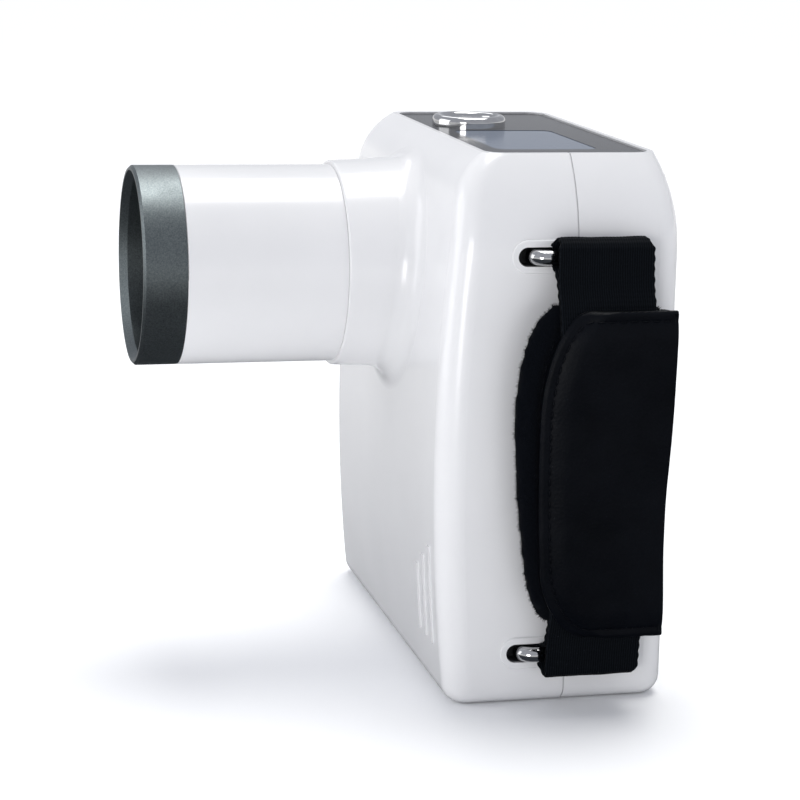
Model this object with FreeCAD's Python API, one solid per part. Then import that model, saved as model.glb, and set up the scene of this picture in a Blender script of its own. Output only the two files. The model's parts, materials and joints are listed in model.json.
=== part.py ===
import FreeCAD, Part
import math
import os
from FreeCAD import Placement, Rotation, Vector

# Handheld intraoral x-ray unit.  Millimetres, +Z up, base on z = 0, origin at the
# tripod socket in the base.  The beam cone points along -Y, the hand strap is on +X.

X_AXIS = Vector(1, 0, 0)
Y_AXIS = Vector(0, 1, 0)
Z_AXIS = Vector(0, 0, 1)

# ---- casing ----
HALF_WIDTH = 78.0
HEIGHT = 173.0
REAR_Y = 48.5
SEAM_Y = 14.3
WALL = 2.6
CORNER_R = 8.0
BASE_R = 6.0
FRONT_R = 658.0
FRONT_CENTRE_Y = 630.3
FRONT_CENTRE_Z = 78.5
BROW_R = 21.7
BROW_Z = 157.0
REAR_ARC_R = 70.1
REAR_ARC_Z = 147.0
SHOULDER_R = 48.0
SHOULDER_Z = 141.0
SIDE_LEAN = math.radians(1.07)
SIDE_FOOT_Z = 7.0
SEAM_GROOVE = 0.5
GROOVE_DEPTH = 0.6
TONGUE_LENGTH = 2.0
LAP_INSET = 1.3

# ---- roof and display panel ----
ROOF_UNDER_Z = 168.4
PANEL_FLOOR_Z = 171.0
PANEL_TOP_Z = 172.5
PANEL_Y = (-11.2, 41.7)
PANEL_HALF_X = 60.5
PANEL_CORNER_R = 6.0
PANEL_GAP = 0.2
LCD_X = (-6.0, 48.0)
LCD_Y = (-5.0, 28.5)
LCD_CORNER_R = 4.0
BOARD_Z = (160.0, 161.6)
POSTS = [(-50.0, -4.0), (53.5, -4.0), (-50.0, 27.0), (53.5, 27.0)]
NOTCH_Y = 11.6
NOTCH_R = 13.25
NOTCH_DEPTH = 2.0
NOTCH_GAP = 0.6

# ---- exposure button ----
BUTTON_X = -20.0
BUTTON_Y = 4.5
BEZEL_R = 12.4
BEZEL_TOP_Z = 176.4
BUTTON_R = 8.4
BUTTON_TRAVEL = 1.5
SWITCH_TOP_Z = 166.0

# ---- power button on the rear top slope ----
POWER_X = 54.0
POWER_Z = 164.0
POWER_HALF_LENGTH = 5.5
POWER_HALF_HEIGHT = 2.4

# ---- beam cone ----
CONE_Z = 129.5
MOUTH_Y = -113.2
RING_LENGTH = 14.0
COLLAR_Y = -47.7
COLLAR_R = 33.7
COLLAR_ROOT_R = 35.2
COLLAR_ROOT_Y = -18.0
COLLAR_FILLET = 8.0
COLLAR_EDGE_R = 0.7
TUBE_R = 32.4
SOCKET_R = 31.95
TUBE_BORE_R = 29.9
BEAM_BORE_R = 28.8
PORT_R = 27.0
CONE_SEAT_Y = -27.0
SPIGOT_LENGTH = 6.0

# ---- x-ray tank ----
TANK_HALF_X = 33.0
TANK_Z = (92.0, 157.0)
TANK_Y = (-19.5, 35.0)
TANK_WALL = 3.0

# ---- strap ----
SLOT_Z = (143.0, 17.3)
SLOT_Y = (-5.0, 37.6)
SLOT_HALF_HEIGHT = 3.0
SLOT_DEPTH = 5.5
POCKET_DEPTH = 8.0
POCKET_WALL = 2.4
LAND_RAISE = 0.5
LAND_HALF_HEIGHT = 5.2
BAR_R = 2.4
BAR_STAND_OFF = 2.4
BAR_LEGS_Y = (0.0, 34.2)
BAR_BEND_R = 4.0
BAR_LEG_END = 11.8
WEB_Y = (5.0, 35.5)
WEB_MIDDLE_X = 89.2
WEB_THICKNESS = 2.8
WEB_LOOP_R = 3.4
PAD_X = (82.8, 87.5)
PAD_Y = (-7.0, 41.5)
PAD_Z = (28.5, 130.0)
COVER_X = (90.9, 93.3)
COVER_Y = (-0.3, 42.4)
COVER_Z = (25.5, 128.5)
SPINE_Y = (41.7, 43.1)

# ---- screws, battery, boards, tripod socket ----
CASE_BOSSES = [(-56.0, 14.0), (56.0, 14.0), (-56.0, 150.0), (56.0, 150.0)]
BOSS_R = 4.5
TANK_POSTS = [(-40.0, 100.0), (40.0, 100.0), (-40.0, 148.0), (40.0, 148.0)]
TANK_EAR_Y = (8.0, 11.0)
CELL_R = 9.1
CELL_LENGTH = 65.0
CELLS_Y = (-5.5, 14.0, 33.5)
CELLS_Z = 30.0
MAIN_BOARD_Y = (30.0, 31.6)
MAIN_BOARD_HOLES = [(-54.0, 50.0), (54.0, 50.0), (-54.0, 84.0), (54.0, 84.0)]
JACK_X = -52.0
JACK_Z = 42.0
JACK_HALF_SPAN = 2.85
JACK_BORE_R = 1.6
TRIPOD_THREAD_R = 3.175
TRIPOD_DEPTH = 10.0
RIBS_X = (46.0, 54.0, 62.0)
RIBS_TOP_Z = (39.0, 44.0, 49.0)
RIB_FOOT_Z = 17.0
RIB_HALF_WIDTH = 1.1
RIB_RAISE = 0.45


# ---- small helpers ----
def box(x, y, z):
    size = (x[1] - x[0], y[1] - y[0], z[1] - z[0])
    return Part.makeBox(size[0], size[1], size[2], Vector(x[0], y[0], z[0]))


def rod(radius, start, end):
    along = end - start
    return Part.makeCylinder(radius, along.Length, start, along)


def rod_y(radius, x, z, y):
    return rod(radius, Vector(x, y[0], z), Vector(x, y[1], z))


def rod_z(radius, x, y, z):
    return rod(radius, Vector(x, y, z[0]), Vector(x, y, z[1]))


def pipe_y(outer, inner, y):
    return rod_y(outer, 0, CONE_Z, y).cut(rod_y(inner, 0, CONE_Z, y))


def rounded_plate(x, y, z, radius):
    plate = box(x, y, z)
    corners = [e for e in plate.Edges if abs(e.Vertexes[0].Z - e.Vertexes[-1].Z) > 1e-6]
    return plate.makeFillet(radius, corners)


def pill_x(y, z, half_height, x):
    """A flat-sided pill: long along Y, rounded ends, extruded along X."""
    bar = box(x, (y[0] + half_height, y[1] - half_height), (z - half_height, z + half_height))
    for end_y in (y[0] + half_height, y[1] - half_height):
        bar = bar.fuse(rod(half_height, Vector(x[0], end_y, z), Vector(x[1], end_y, z)))
    return bar.removeSplitter()


def pill_y(half_span, radius, x, z, y):
    """A flat-sided pill: long along X, rounded ends, extruded along Y."""
    bar = box((x - half_span, x + half_span), y, (z - radius, z + radius))
    for end_x in (x - half_span, x + half_span):
        bar = bar.fuse(rod_y(radius, end_x, z, y))
    return bar.removeSplitter()


def revolved(points, x, y):
    """Turn an outline of (radius, height) points about a vertical axis."""
    wire = Part.makePolygon([Vector(x + r, y, z) for r, z in points + points[:1]])
    return Part.Face(wire).revolve(Vector(x, y, 0), Z_AXIS, 360)


def fused(shapes):
    return shapes[0].multiFuse(shapes[1:]).removeSplitter() if len(shapes) > 1 else shapes[0]


def group(shapes):
    return Part.makeCompound(shapes)


def on_arc(centre, level, radius, height, side):
    return centre + side * math.sqrt(radius ** 2 - (height - level) ** 2)


def side_x(z):
    """Half width of the casing at height z, below the shoulder."""
    return HALF_WIDTH - (z - SIDE_FOOT_Z) * math.tan(SIDE_LEAN)


# ---- casing ----
def side_profile(inset):
    """Outline seen from +X: bowed front, brow, flat top, sloping rear top, flat rear."""
    top = HEIGHT - inset
    front_r = FRONT_R - inset
    turn = math.asin((BROW_Z - FRONT_CENTRE_Z) / FRONT_R)
    reach = FRONT_R - BROW_R
    brow_y = FRONT_CENTRE_Y - reach * math.cos(turn)
    brow_z = FRONT_CENTRE_Z + reach * math.sin(turn)
    brow_r = BROW_R - inset
    rear_y = REAR_Y - REAR_ARC_R
    rear_r = REAR_ARC_R - inset
    joint_z = FRONT_CENTRE_Z + front_r * math.sin(turn)

    def front(z):
        return Vector(0, on_arc(FRONT_CENTRE_Y, FRONT_CENTRE_Z, front_r, z, -1), z)

    def brow(z):
        return Vector(0, on_arc(brow_y, brow_z, brow_r, z, -1), z)

    def rear(z):
        return Vector(0, on_arc(rear_y, REAR_ARC_Z, rear_r, z, 1), z)

    foot = Vector(0, REAR_Y - inset, inset)
    edges = [
        Part.Arc(front(inset), front(FRONT_CENTRE_Z), front(joint_z)).toShape(),
        Part.Arc(front(joint_z), brow((joint_z + top) / 2), brow(top)).toShape(),
        Part.makeLine(brow(top), rear(top)),
        Part.Arc(rear(top), rear((REAR_ARC_Z + top) / 2), rear(REAR_ARC_Z)).toShape(),
        Part.makeLine(rear(REAR_ARC_Z), foot),
        Part.makeLine(foot, front(inset)),
    ]
    return Part.Face(Part.Wire(edges))


def front_profile(inset):
    """Outline seen from the front: straight leaning sides and round shoulders."""
    top = HEIGHT - inset
    radius = SHOULDER_R - inset
    centre_x = side_x(SHOULDER_Z) - SHOULDER_R * math.cos(SIDE_LEAN)
    centre_z = SHOULDER_Z - SHOULDER_R * math.sin(SIDE_LEAN)
    joint_z = centre_z + radius * math.sin(SIDE_LEAN)

    def shoulder(z, side):
        return Vector(side * on_arc(centre_x, centre_z, radius, z, 1), 0, z)

    def foot(side):
        joint = shoulder(joint_z, 1)
        return Vector(side * (joint.x + (joint_z - inset) * math.tan(SIDE_LEAN)), 0, inset)

    middle = (joint_z + top) / 2
    edges = [
        Part.makeLine(foot(-1), foot(1)),
        Part.makeLine(foot(1), shoulder(joint_z, 1)),
        Part.Arc(shoulder(joint_z, 1), shoulder(middle, 1), shoulder(top, 1)).toShape(),
        Part.makeLine(shoulder(top, 1), shoulder(top, -1)),
        Part.Arc(shoulder(top, -1), shoulder(middle, -1), shoulder(joint_z, -1)).toShape(),
        Part.makeLine(shoulder(joint_z, -1), foot(-1)),
    ]
    return Part.Face(Part.Wire(edges))


def body_solid(inset):
    """The casing's outer form, moved inward by inset."""
    side = side_profile(inset)
    side.translate(Vector(-100, 0, 0))
    front = front_profile(inset)
    front.translate(Vector(0, -100, 0))
    solid = side.extrude(Vector(200, 0, 0)).common(front.extrude(Vector(0, 200, 0)))
    upright = [e for e in solid.Edges if abs(e.Vertexes[0].Z - e.Vertexes[-1].Z) > 1]
    solid = solid.makeFillet(CORNER_R - inset, upright)
    base = [e for e in solid.Edges if abs(e.CenterOfMass.z - inset) < 1e-3]
    return solid.makeFillet(BASE_R - inset, base).Solids[0]


def with_collar(body):
    """Add the round collar that the cone plugs into, with its blended root."""
    height = COLLAR_ROOT_Y - COLLAR_Y
    start = Vector(0, COLLAR_Y, CONE_Z)
    collar = Part.makeCone(COLLAR_R, COLLAR_ROOT_R, height, start, Y_AXIS)
    joined = body.fuse(collar)
    axis_point = Vector(0, 0, CONE_Z)
    root = []
    for edge in joined.Edges:
        offset = edge.valueAt(edge.FirstParameter) - axis_point
        distance = math.hypot(offset.x, offset.z)
        if COLLAR_R < distance < COLLAR_ROOT_R + 0.2 and offset.y > COLLAR_Y + 5:
            root.append(edge)
    joined = joined.makeFillet(COLLAR_FILLET, root)
    lip = [e for e in joined.Edges if abs(e.BoundBox.YMax - COLLAR_Y) < 1e-6]
    return joined.makeFillet(COLLAR_EDGE_R, lip)


def seam_slab(thickness):
    return box((-120, 120), (SEAM_Y - thickness / 2, SEAM_Y + thickness / 2), (-5, 185))


def panel_pocket(z):
    x = (-PANEL_HALF_X, PANEL_HALF_X)
    return rounded_plate(x, PANEL_Y, z, PANEL_CORNER_R)


def notch_rod(radius, z):
    return rod_z(radius, PANEL_HALF_X + NOTCH_R - NOTCH_DEPTH, NOTCH_Y, z)


def strap_seats(shell):
    """Two long slots in the +X side, each in a raised land with a pocket behind it."""
    for z in SLOT_Z:
        x = side_x(z)
        around = (SLOT_Y[0] - POCKET_WALL, SLOT_Y[1] + POCKET_WALL)
        pocket = pill_x(around, z, SLOT_HALF_HEIGHT + POCKET_WALL, (x - POCKET_DEPTH, x - 1))
        land = pill_x((SLOT_Y[0] - 2, SLOT_Y[1] + 1), z, LAND_HALF_HEIGHT, (x - 2, x + LAND_RAISE))
        rim = [e for e in land.Edges if abs(e.CenterOfMass.x - x - LAND_RAISE) < 1e-6]
        shell = shell.multiFuse([pocket, land.makeChamfer(LAND_RAISE * 0.7, rim)])
    for z in SLOT_Z:
        x = side_x(z)
        shell = shell.cut(pill_x(SLOT_Y, z, SLOT_HALF_HEIGHT, (x - SLOT_DEPTH, x + 5)))
        for leg_y in BAR_LEGS_Y:
            leg = rod(BAR_R + 0.1, Vector(x - 20, leg_y, z), Vector(x, leg_y, z))
            shell = shell.cut(leg)
    return shell


def power_place():
    """Placement at the power button, with local +Z out of the rear top slope."""
    lift = POWER_Z - REAR_ARC_Z
    out_y = math.sqrt(REAR_ARC_R ** 2 - lift ** 2)
    angle = math.degrees(math.atan2(out_y, lift))
    base = Vector(POWER_X, REAR_Y - REAR_ARC_R + out_y, POWER_Z)
    return Placement(base, Rotation(X_AXIS, -angle))


def power_pill(margin, z):
    """Pill in the power button's own frame, placed on the casing."""
    half = POWER_HALF_HEIGHT + margin
    run = POWER_HALF_LENGTH - POWER_HALF_HEIGHT
    shape = box((-run, run), (-half, half), z)
    for end_x in (-run, run):
        shape = shape.fuse(rod_z(half, end_x, 0, z))
    return shape.removeSplitter()


def placed(shape):
    shape.Placement = power_place().multiply(shape.Placement)
    return shape


def casing():
    """The whole hollow casing, before it is split at the seam."""
    shell = with_collar(body_solid(0))
    raised = body_solid(-RIB_RAISE)
    for rib_x, top_z in zip(RIBS_X, RIBS_TOP_Z):
        x = (rib_x - RIB_HALF_WIDTH, rib_x + RIB_HALF_WIDTH)
        bar = rounded_plate(x, (-32, -23), (RIB_FOOT_Z, top_z), 0.3)
        shell = shell.fuse(bar.common(raised))
    room = box((-120, 120), (-120, 120), (-5, ROOF_UNDER_Z))
    shell = shell.cut(body_solid(WALL).common(room))

    bosses = [rod_y(BOSS_R, x, z, (-22.8, REAR_Y - 2)) for x, z in CASE_BOSSES]
    posts = [rod_y(4.0, x, z, (-23.5, TANK_EAR_Y[0] - 0.1)) for x, z in TANK_POSTS]
    hangers = [rod_z(3.0, x, y, (BOARD_Z[1] + 0.1, ROOF_UNDER_Z + 0.6)) for x, y in POSTS]
    tripod_boss = rod_z(8.0, 0, 0, (WALL - 1, TRIPOD_DEPTH + 4))
    shell = shell.multiFuse(bosses + posts + hangers + [tripod_boss])

    shell = strap_seats(shell)
    shell = shell.cut(panel_pocket((PANEL_FLOOR_Z, HEIGHT + 5)))
    tab = notch_rod(NOTCH_R, (PANEL_FLOOR_Z - 0.5, HEIGHT - 0.3))
    shell = shell.fuse(tab.common(panel_pocket((PANEL_FLOOR_Z - 0.5, HEIGHT))))
    return cut_openings(shell)


def cut_openings(shell):
    roof = (ROOF_UNDER_Z - 1, PANEL_FLOOR_Z + 1)
    lcd_hole = box((LCD_X[0] + 2, LCD_X[1] - 2), (LCD_Y[0] + 2, LCD_Y[1] - 2), roof)
    tools = [lcd_hole, rod_z(11.0, BUTTON_X, BUTTON_Y, roof)]
    tools.append(rod_y(SOCKET_R, 0, CONE_Z, (COLLAR_Y - 1, CONE_SEAT_Y)))
    tools.append(rod_y(PORT_R, 0, CONE_Z, (CONE_SEAT_Y - 1, -10)))
    tools.append(placed(power_pill(0.35, (-8, 6))))
    tools.append(rod_z(5.5, 0, 0, (-1, TRIPOD_DEPTH + 1)))
    tools.append(pill_y(JACK_HALF_SPAN, JACK_BORE_R + 0.5, JACK_X, JACK_Z, (40, REAR_Y + 1)))
    for x, z in CASE_BOSSES:
        tools.append(rod_y(1.5, x, z, (SEAM_Y - 16, SEAM_Y)))
        tools.append(rod_y(1.7, x, z, (SEAM_Y, REAR_Y + 1)))
        tools.append(rod_y(3.3, x, z, (40, REAR_Y + 1)))
    for x, z in TANK_POSTS:
        tools.append(rod_y(1.5, x, z, (TANK_EAR_Y[0] - 14, TANK_EAR_Y[0] + 1)))
    for x, y in POSTS:
        tools.append(rod_z(1.15, x, y, (BOARD_Z[1] - 1, BOARD_Z[1] + 4.5)))
    return shell.cut(tools)


def split_casing():
    """Front and rear shells with a lap joint and a shadow groove at the seam."""
    whole = casing()
    groove = seam_slab(SEAM_GROOVE).cut(body_solid(GROOVE_DEPTH))
    whole = whole.cut(groove)
    tongue_y = (SEAM_Y - 0.01, SEAM_Y + TONGUE_LENGTH)
    lap = body_solid(LAP_INSET)
    tongue = box((-120, 120), tongue_y, (-5, ROOF_UNDER_Z - 1)).common(lap)
    front = whole.common(box((-120, 120), (-150, SEAM_Y), (-5, 185)))
    rear = whole.common(box((-120, 120), (SEAM_Y, 150), (-5, 185)))
    front = front.fuse(whole.common(tongue))
    rear = rear.cut(front)
    return biggest(front), biggest(rear)


def biggest(shape):
    return max(shape.Solids, key=lambda solid: solid.Volume)


def case_screws():
    screws = []
    for x, z in CASE_BOSSES:
        head = rod_y(3.0, x, z, (40.1, 42.6)).cut(rod_y(1.3, x, z, (41.2, 43)))
        screws.append(head.fuse(rod_y(1.45, x, z, (SEAM_Y - 14, 40.2))))
    return group(screws)


def screw_plugs():
    plugs = []
    for x, z in CASE_BOSSES:
        plug = rod_y(3.25, x, z, (45.5, REAR_Y - 0.3))
        rim = [e for e in plug.Edges if abs(e.CenterOfMass.y - REAR_Y + 0.3) < 1e-6]
        plugs.append(plug.makeFillet(0.5, rim))
    return group(plugs)


def tripod_insert():
    sleeve = rod_z(5.45, 0, 0, (0, TRIPOD_DEPTH + 0.9))
    for i in range(3):
        z = 2.5 + 2.8 * i
        ring = rod_z(6.0, 0, 0, (z, z + 0.8)).cut(rod_z(5.1, 0, 0, (z, z + 0.8)))
        sleeve = sleeve.cut(ring)
    return sleeve.cut(rod_z(TRIPOD_THREAD_R, 0, 0, (-1, TRIPOD_DEPTH)))


# ---- beam cone ----
def cone_tube():
    """The plastic tube, with a step that seats on the collar and a spigot inside it."""
    edge_y = MOUTH_Y + RING_LENGTH
    tube = pipe_y(TUBE_R, TUBE_BORE_R, (edge_y, COLLAR_Y - 0.05))
    tube = tube.fuse(pipe_y(SOCKET_R - 0.05, TUBE_BORE_R, (edge_y, CONE_SEAT_Y - 0.1))).removeSplitter()
    rim = [e for e in tube.Edges if abs(e.BoundBox.YMax - edge_y) < 1e-6 and e.BoundBox.XMax > 31]
    return tube.makeFillet(0.4, rim)


def cone_end_ring():
    seat = MOUTH_Y + RING_LENGTH
    spigot_end = seat + SPIGOT_LENGTH
    outline = [
        (BEAM_BORE_R, MOUTH_Y + 2.6),
        (TUBE_R - 1.6, MOUTH_Y),
        (TUBE_R - 0.8, MOUTH_Y),
        (TUBE_R, MOUTH_Y + 0.8),
        (TUBE_R, seat - 0.1),
        (TUBE_BORE_R - 0.05, seat - 0.1),
        (TUBE_BORE_R - 0.05, spigot_end),
        (BEAM_BORE_R, spigot_end),
    ]
    wire = Part.makePolygon([Vector(r, y, CONE_Z) for r, y in outline + outline[:1]])
    return Part.Face(wire).revolve(Vector(0, 0, CONE_Z), Y_AXIS, 360)


def lead_liner():
    start = MOUTH_Y + RING_LENGTH + SPIGOT_LENGTH + 0.2
    return pipe_y(TUBE_BORE_R - 0.05, BEAM_BORE_R, (start, CONE_SEAT_Y - 3.2))


def beam_window():
    return rod_y(TUBE_BORE_R - 0.1, 0, CONE_Z, (CONE_SEAT_Y - 3.0, CONE_SEAT_Y - 1.0))


def collimator():
    plate = rod_y(PORT_R - 0.4, 0, CONE_Z, (CONE_SEAT_Y - 0.6, CONE_SEAT_Y + 1.4))
    return plate.cut(rod_y(9.0, 0, CONE_Z, (-40, 0)))


def aluminium_filter():
    return rod_y(PORT_R - 0.4, 0, CONE_Z, (CONE_SEAT_Y + 1.5, CONE_SEAT_Y + 2.9))


# ---- x-ray tank ----
def tank_rim(width, y):
    """A square ring on the tank's open rear face."""
    outer = (-TANK_HALF_X + 0.4, TANK_HALF_X - 0.4)
    outer_z = (TANK_Z[0] + 0.4, TANK_Z[1] - 0.4)
    ring = box(outer, y, outer_z)
    inner = (outer[0] + width, outer[1] - width)
    inner_z = (outer_z[0] + width, outer_z[1] - width)
    return ring.cut(box(inner, (y[0] - 1, y[1] + 1), inner_z))


def tank_housing():
    x = (-TANK_HALF_X, TANK_HALF_X)
    tank = rounded_plate(x, TANK_Y, TANK_Z, 3.0)
    ears = []
    for ear_x, ear_z in TANK_POSTS:
        inner = math.copysign(TANK_HALF_X - 1, ear_x)
        outer = math.copysign(abs(ear_x) + 5, ear_x)
        span = (min(inner, outer), max(inner, outer))
        ears.append(box(span, TANK_EAR_Y, (ear_z - 5, ear_z + 5)))
    tank = tank.multiFuse(ears + [rod_y(PORT_R - 0.4, 0, CONE_Z, (-24.0, TANK_Y[0] + 1))])
    hollow_x = (x[0] + TANK_WALL, x[1] - TANK_WALL)
    hollow_z = (TANK_Z[0] + TANK_WALL, TANK_Z[1] - TANK_WALL)
    tank = tank.cut(box(hollow_x, (TANK_Y[0] + TANK_WALL, 60), hollow_z))
    tank = tank.multiFuse([rod_y(3.4, px, pz, (18, TANK_Y[1])) for px, pz in lid_screw_places()])
    holes = [rod_y(12.0, 0, CONE_Z, (-30, TANK_Y[0] + 1.5))]
    holes += [rod_y(1.35, px, pz, (26, TANK_Y[1] + 1)) for px, pz in lid_screw_places()]
    holes += [rod_y(1.7, px, pz, (0, 20)) for px, pz in TANK_POSTS]
    return tank.cut(holes)


def tank_seal():
    return tank_rim(2.4, (TANK_Y[1] + 0.05, TANK_Y[1] + 0.95))


def tank_lid():
    y = (TANK_Y[1] + 1.0, TANK_Y[1] + 4.0)
    lid = rounded_plate((-TANK_HALF_X, TANK_HALF_X), y, TANK_Z, 1.0)
    return lid.cut(group([rod_y(1.4, x, z, (y[0] - 1, y[1] + 1)) for x, z in lid_screw_places()]))


def lid_screw_places():
    x = TANK_HALF_X - 5.5
    z = (TANK_Z[0] + 5.5, TANK_Z[1] - 5.5)
    return [(-x, z[0]), (x, z[0]), (-x, z[1]), (x, z[1])]


def tank_lid_screws():
    y = TANK_Y[1] + 4.05
    return group([
        rod_y(2.5, x, z, (y, y + 1.8)).fuse(rod_y(1.3, x, z, (y - 8, y + 0.5)))
        for x, z in lid_screw_places()
    ])


def tank_screws():
    y = TANK_EAR_Y[1] + 0.05
    return group([
        rod_y(3.0, x, z, (y, y + 2.2)).fuse(rod_y(1.45, x, z, (y - 14, y + 0.5)))
        for x, z in TANK_POSTS
    ])


def turned_x(points, y, z):
    """Turn an outline of (x, radius) points about a line along X."""
    wire = Part.makePolygon([Vector(px, y, z + r) for px, r in points + points[:1]])
    return Part.Face(wire).revolve(Vector(0, y, z), X_AXIS, 360)


def xray_tube_glass():
    outline = [(-27, 7), (-24, 11), (-20, 12.5), (20, 12.5), (24, 11), (27, 7),
               (27, 5.8), (23.4, 10), (19.6, 11.3), (-19.6, 11.3), (-23.4, 10), (-27, 5.8)]
    return turned_x(outline, 0, CONE_Z)


def anode():
    block = rod(6.5, Vector(2, 0, CONE_Z), Vector(22, 0, CONE_Z))
    stem = rod(3.5, Vector(21, 0, CONE_Z), Vector(28.5, 0, CONE_Z))
    wedge = Part.makeBox(20, 30, 30, Vector(-20, -15, -15))
    wedge.rotate(Vector(0, 0, 0), Z_AXIS, -20)
    wedge.translate(Vector(4.5, 0, CONE_Z))
    return block.fuse(stem).cut(wedge)


def tungsten_target():
    disc = rod(2.5, Vector(-1.0, 0, 0), Vector(-0.05, 0, 0))
    disc.rotate(Vector(0, 0, 0), Z_AXIS, -20)
    disc.translate(Vector(4.5, 0, CONE_Z))
    return disc


def cathode_cup():
    cup = rod(5.0, Vector(-18, 0, CONE_Z), Vector(-6, 0, CONE_Z))
    slot = box((-8, 0), (-0.8, 0.8), (CONE_Z - 3.5, CONE_Z + 3.5))
    return cup.fuse(rod(2.5, Vector(-28.5, 0, CONE_Z), Vector(-17, 0, CONE_Z))).cut(slot)


def transformer_core():
    frame = box((-24, 0), (15, 31), (97, 121))
    for x in ((-20, -15), (-9, -4)):
        frame = frame.cut(box(x, (10, 40), (101, 117)))
    return frame


def transformer_coil():
    outer = rounded_plate((-19.5, -4.5), (13, 33), (101.5, 116.5), 2.0)
    return outer.cut(box((-15.1, -8.9), (14.9, 31.1), (100, 118)))


def voltage_multiplier():
    parts = [box((3, 23), (24, 25.6), (98, 150))]
    for row in range(4):
        z = 104 + 12 * row
        parts.append(rod_z(2.6, 8, 20.9, (z - 4, z + 4)))
        parts.append(box((7, 9), (21, 24.2), (z - 1, z + 1)))
        parts.append(box((14, 21), (19.5, 24.1), (z - 3, z + 3)))
    return fused(parts)


# ---- display, exposure button ----
def display_panel():
    x = (-PANEL_HALF_X + PANEL_GAP, PANEL_HALF_X - PANEL_GAP)
    y = (PANEL_Y[0] + PANEL_GAP, PANEL_Y[1] - PANEL_GAP)
    z = (PANEL_FLOOR_Z + 0.05, PANEL_TOP_Z)
    plate = rounded_plate(x, y, z, PANEL_CORNER_R - PANEL_GAP)
    rim = [e for e in plate.Edges if abs(e.BoundBox.ZMin - PANEL_TOP_Z) < 1e-6]
    plate = plate.makeChamfer(0.25, rim)
    through = (z[0] - 1, z[1] + 1)
    plate = plate.cut(notch_rod(NOTCH_R + NOTCH_GAP, through))
    plate = plate.cut(rounded_plate(LCD_X, LCD_Y, through, LCD_CORNER_R))
    return plate.cut(rod_z(10.9, BUTTON_X, BUTTON_Y, through))


def lcd_window():
    x = (LCD_X[0] + 0.1, LCD_X[1] - 0.1)
    y = (LCD_Y[0] + 0.1, LCD_Y[1] - 0.1)
    return rounded_plate(x, y, (PANEL_FLOOR_Z + 0.05, PANEL_TOP_Z - 0.1), LCD_CORNER_R - 0.1)


def lcd_module():
    x = (LCD_X[0] - 2, LCD_X[1])
    y = (LCD_Y[0] - 2, LCD_Y[1] + 2)
    module = rounded_plate(x, y, (BOARD_Z[1] + 0.1, ROOF_UNDER_Z - 0.3), 1.5)
    glass_x = (LCD_X[0] + 2.3, LCD_X[1] - 2.3)
    glass_y = (LCD_Y[0] + 2.3, LCD_Y[1] - 2.3)
    glass = box(glass_x, glass_y, (ROOF_UNDER_Z - 0.5, PANEL_FLOOR_Z - 0.1))
    return module.fuse(glass)


def display_board():
    board = rounded_plate((-54, 57.5), (-8.5, 32), BOARD_Z, 3.0)
    return board.cut(group([rod_z(1.3, x, y, (150, 170)) for x, y in POSTS]))


def display_screws():
    return group([
        rod_z(2.3, x, y, (BOARD_Z[0] - 1.6, BOARD_Z[0] - 0.05))
        .fuse(rod_z(1.1, x, y, (BOARD_Z[0] - 0.5, BOARD_Z[1] + 3.5)))
        for x, y in POSTS
    ])


def exposure_bezel():
    """Bright bull-nosed ring on the panel, with a sleeve that guides the button."""
    inner = BUTTON_R + 0.3
    crown_r = (BEZEL_R - inner) / 2
    crown_z = BEZEL_TOP_Z - crown_r
    outline = [(inner, 171.2), (inner, crown_z), (BEZEL_R, crown_z), (BEZEL_R, PANEL_TOP_Z + 0.02)]
    outline += [(10.7, PANEL_TOP_Z + 0.02), (10.7, 167.2), (9.9, 167.2), (9.9, 171.2)]
    crown = Part.makeTorus(inner + crown_r, crown_r, Vector(BUTTON_X, BUTTON_Y, crown_z), Z_AXIS)
    return revolved(outline, BUTTON_X, BUTTON_Y).fuse(crown).removeSplitter()


def exposure_button():
    foot_z = SWITCH_TOP_Z + BUTTON_TRAVEL + 0.4
    outline = [(0, foot_z), (2.2, foot_z), (2.2, 169.3), (9.5, 169.3), (9.5, 170.7)]
    outline += [(BUTTON_R, 170.7), (BUTTON_R, 174.3), (BUTTON_R - 0.3, 174.8), (BUTTON_R - 0.9, 175.0)]
    outline += [(6.0, 174.7), (3.5, 174.4), (0, 174.3)]
    return revolved(outline, BUTTON_X, BUTTON_Y)


def exposure_spring():
    """A compression spring of flat wire."""
    turns = 5
    wire = (0.9, 0.6)
    height = 6.8
    radius = 7.2
    helix = Part.makeHelix(height / turns, height, radius)
    x = (radius - wire[0] / 2, radius + wire[0] / 2)
    z = (-wire[1] / 2, wire[1] / 2)
    corners = [Vector(x[0], 0, z[0]), Vector(x[1], 0, z[0]), Vector(x[1], 0, z[1]), Vector(x[0], 0, z[1])]
    section = Part.makePolygon(corners + corners[:1])
    spring = Part.Wire(helix).makePipeShell([section], True, True)
    spring.translate(Vector(BUTTON_X, BUTTON_Y, BOARD_Z[1] + wire[1] / 2 + 0.1))
    return spring


def exposure_switch():
    x = (BUTTON_X - 3, BUTTON_X + 3)
    y = (BUTTON_Y - 3, BUTTON_Y + 3)
    body = rounded_plate(x, y, (BOARD_Z[1] + 0.05, BOARD_Z[1] + 3.3), 0.6)
    return body.fuse(rod_z(1.6, BUTTON_X, BUTTON_Y, (BOARD_Z[1] + 3, SWITCH_TOP_Z)))


# ---- power button ----
def power_button():
    cap = power_pill(0, (-3.3, 0.9))
    rim = [e for e in cap.Edges if abs(e.BoundBox.ZMin - 0.9) < 1e-6]
    cap = cap.makeFillet(0.4, rim)
    flange = power_pill(0.9, (-4.1, -3.3))
    stem = rod_z(1.2, 0, 0, (-5.0, -3.8))
    return placed(cap.multiFuse([flange, stem]).removeSplitter())


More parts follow.
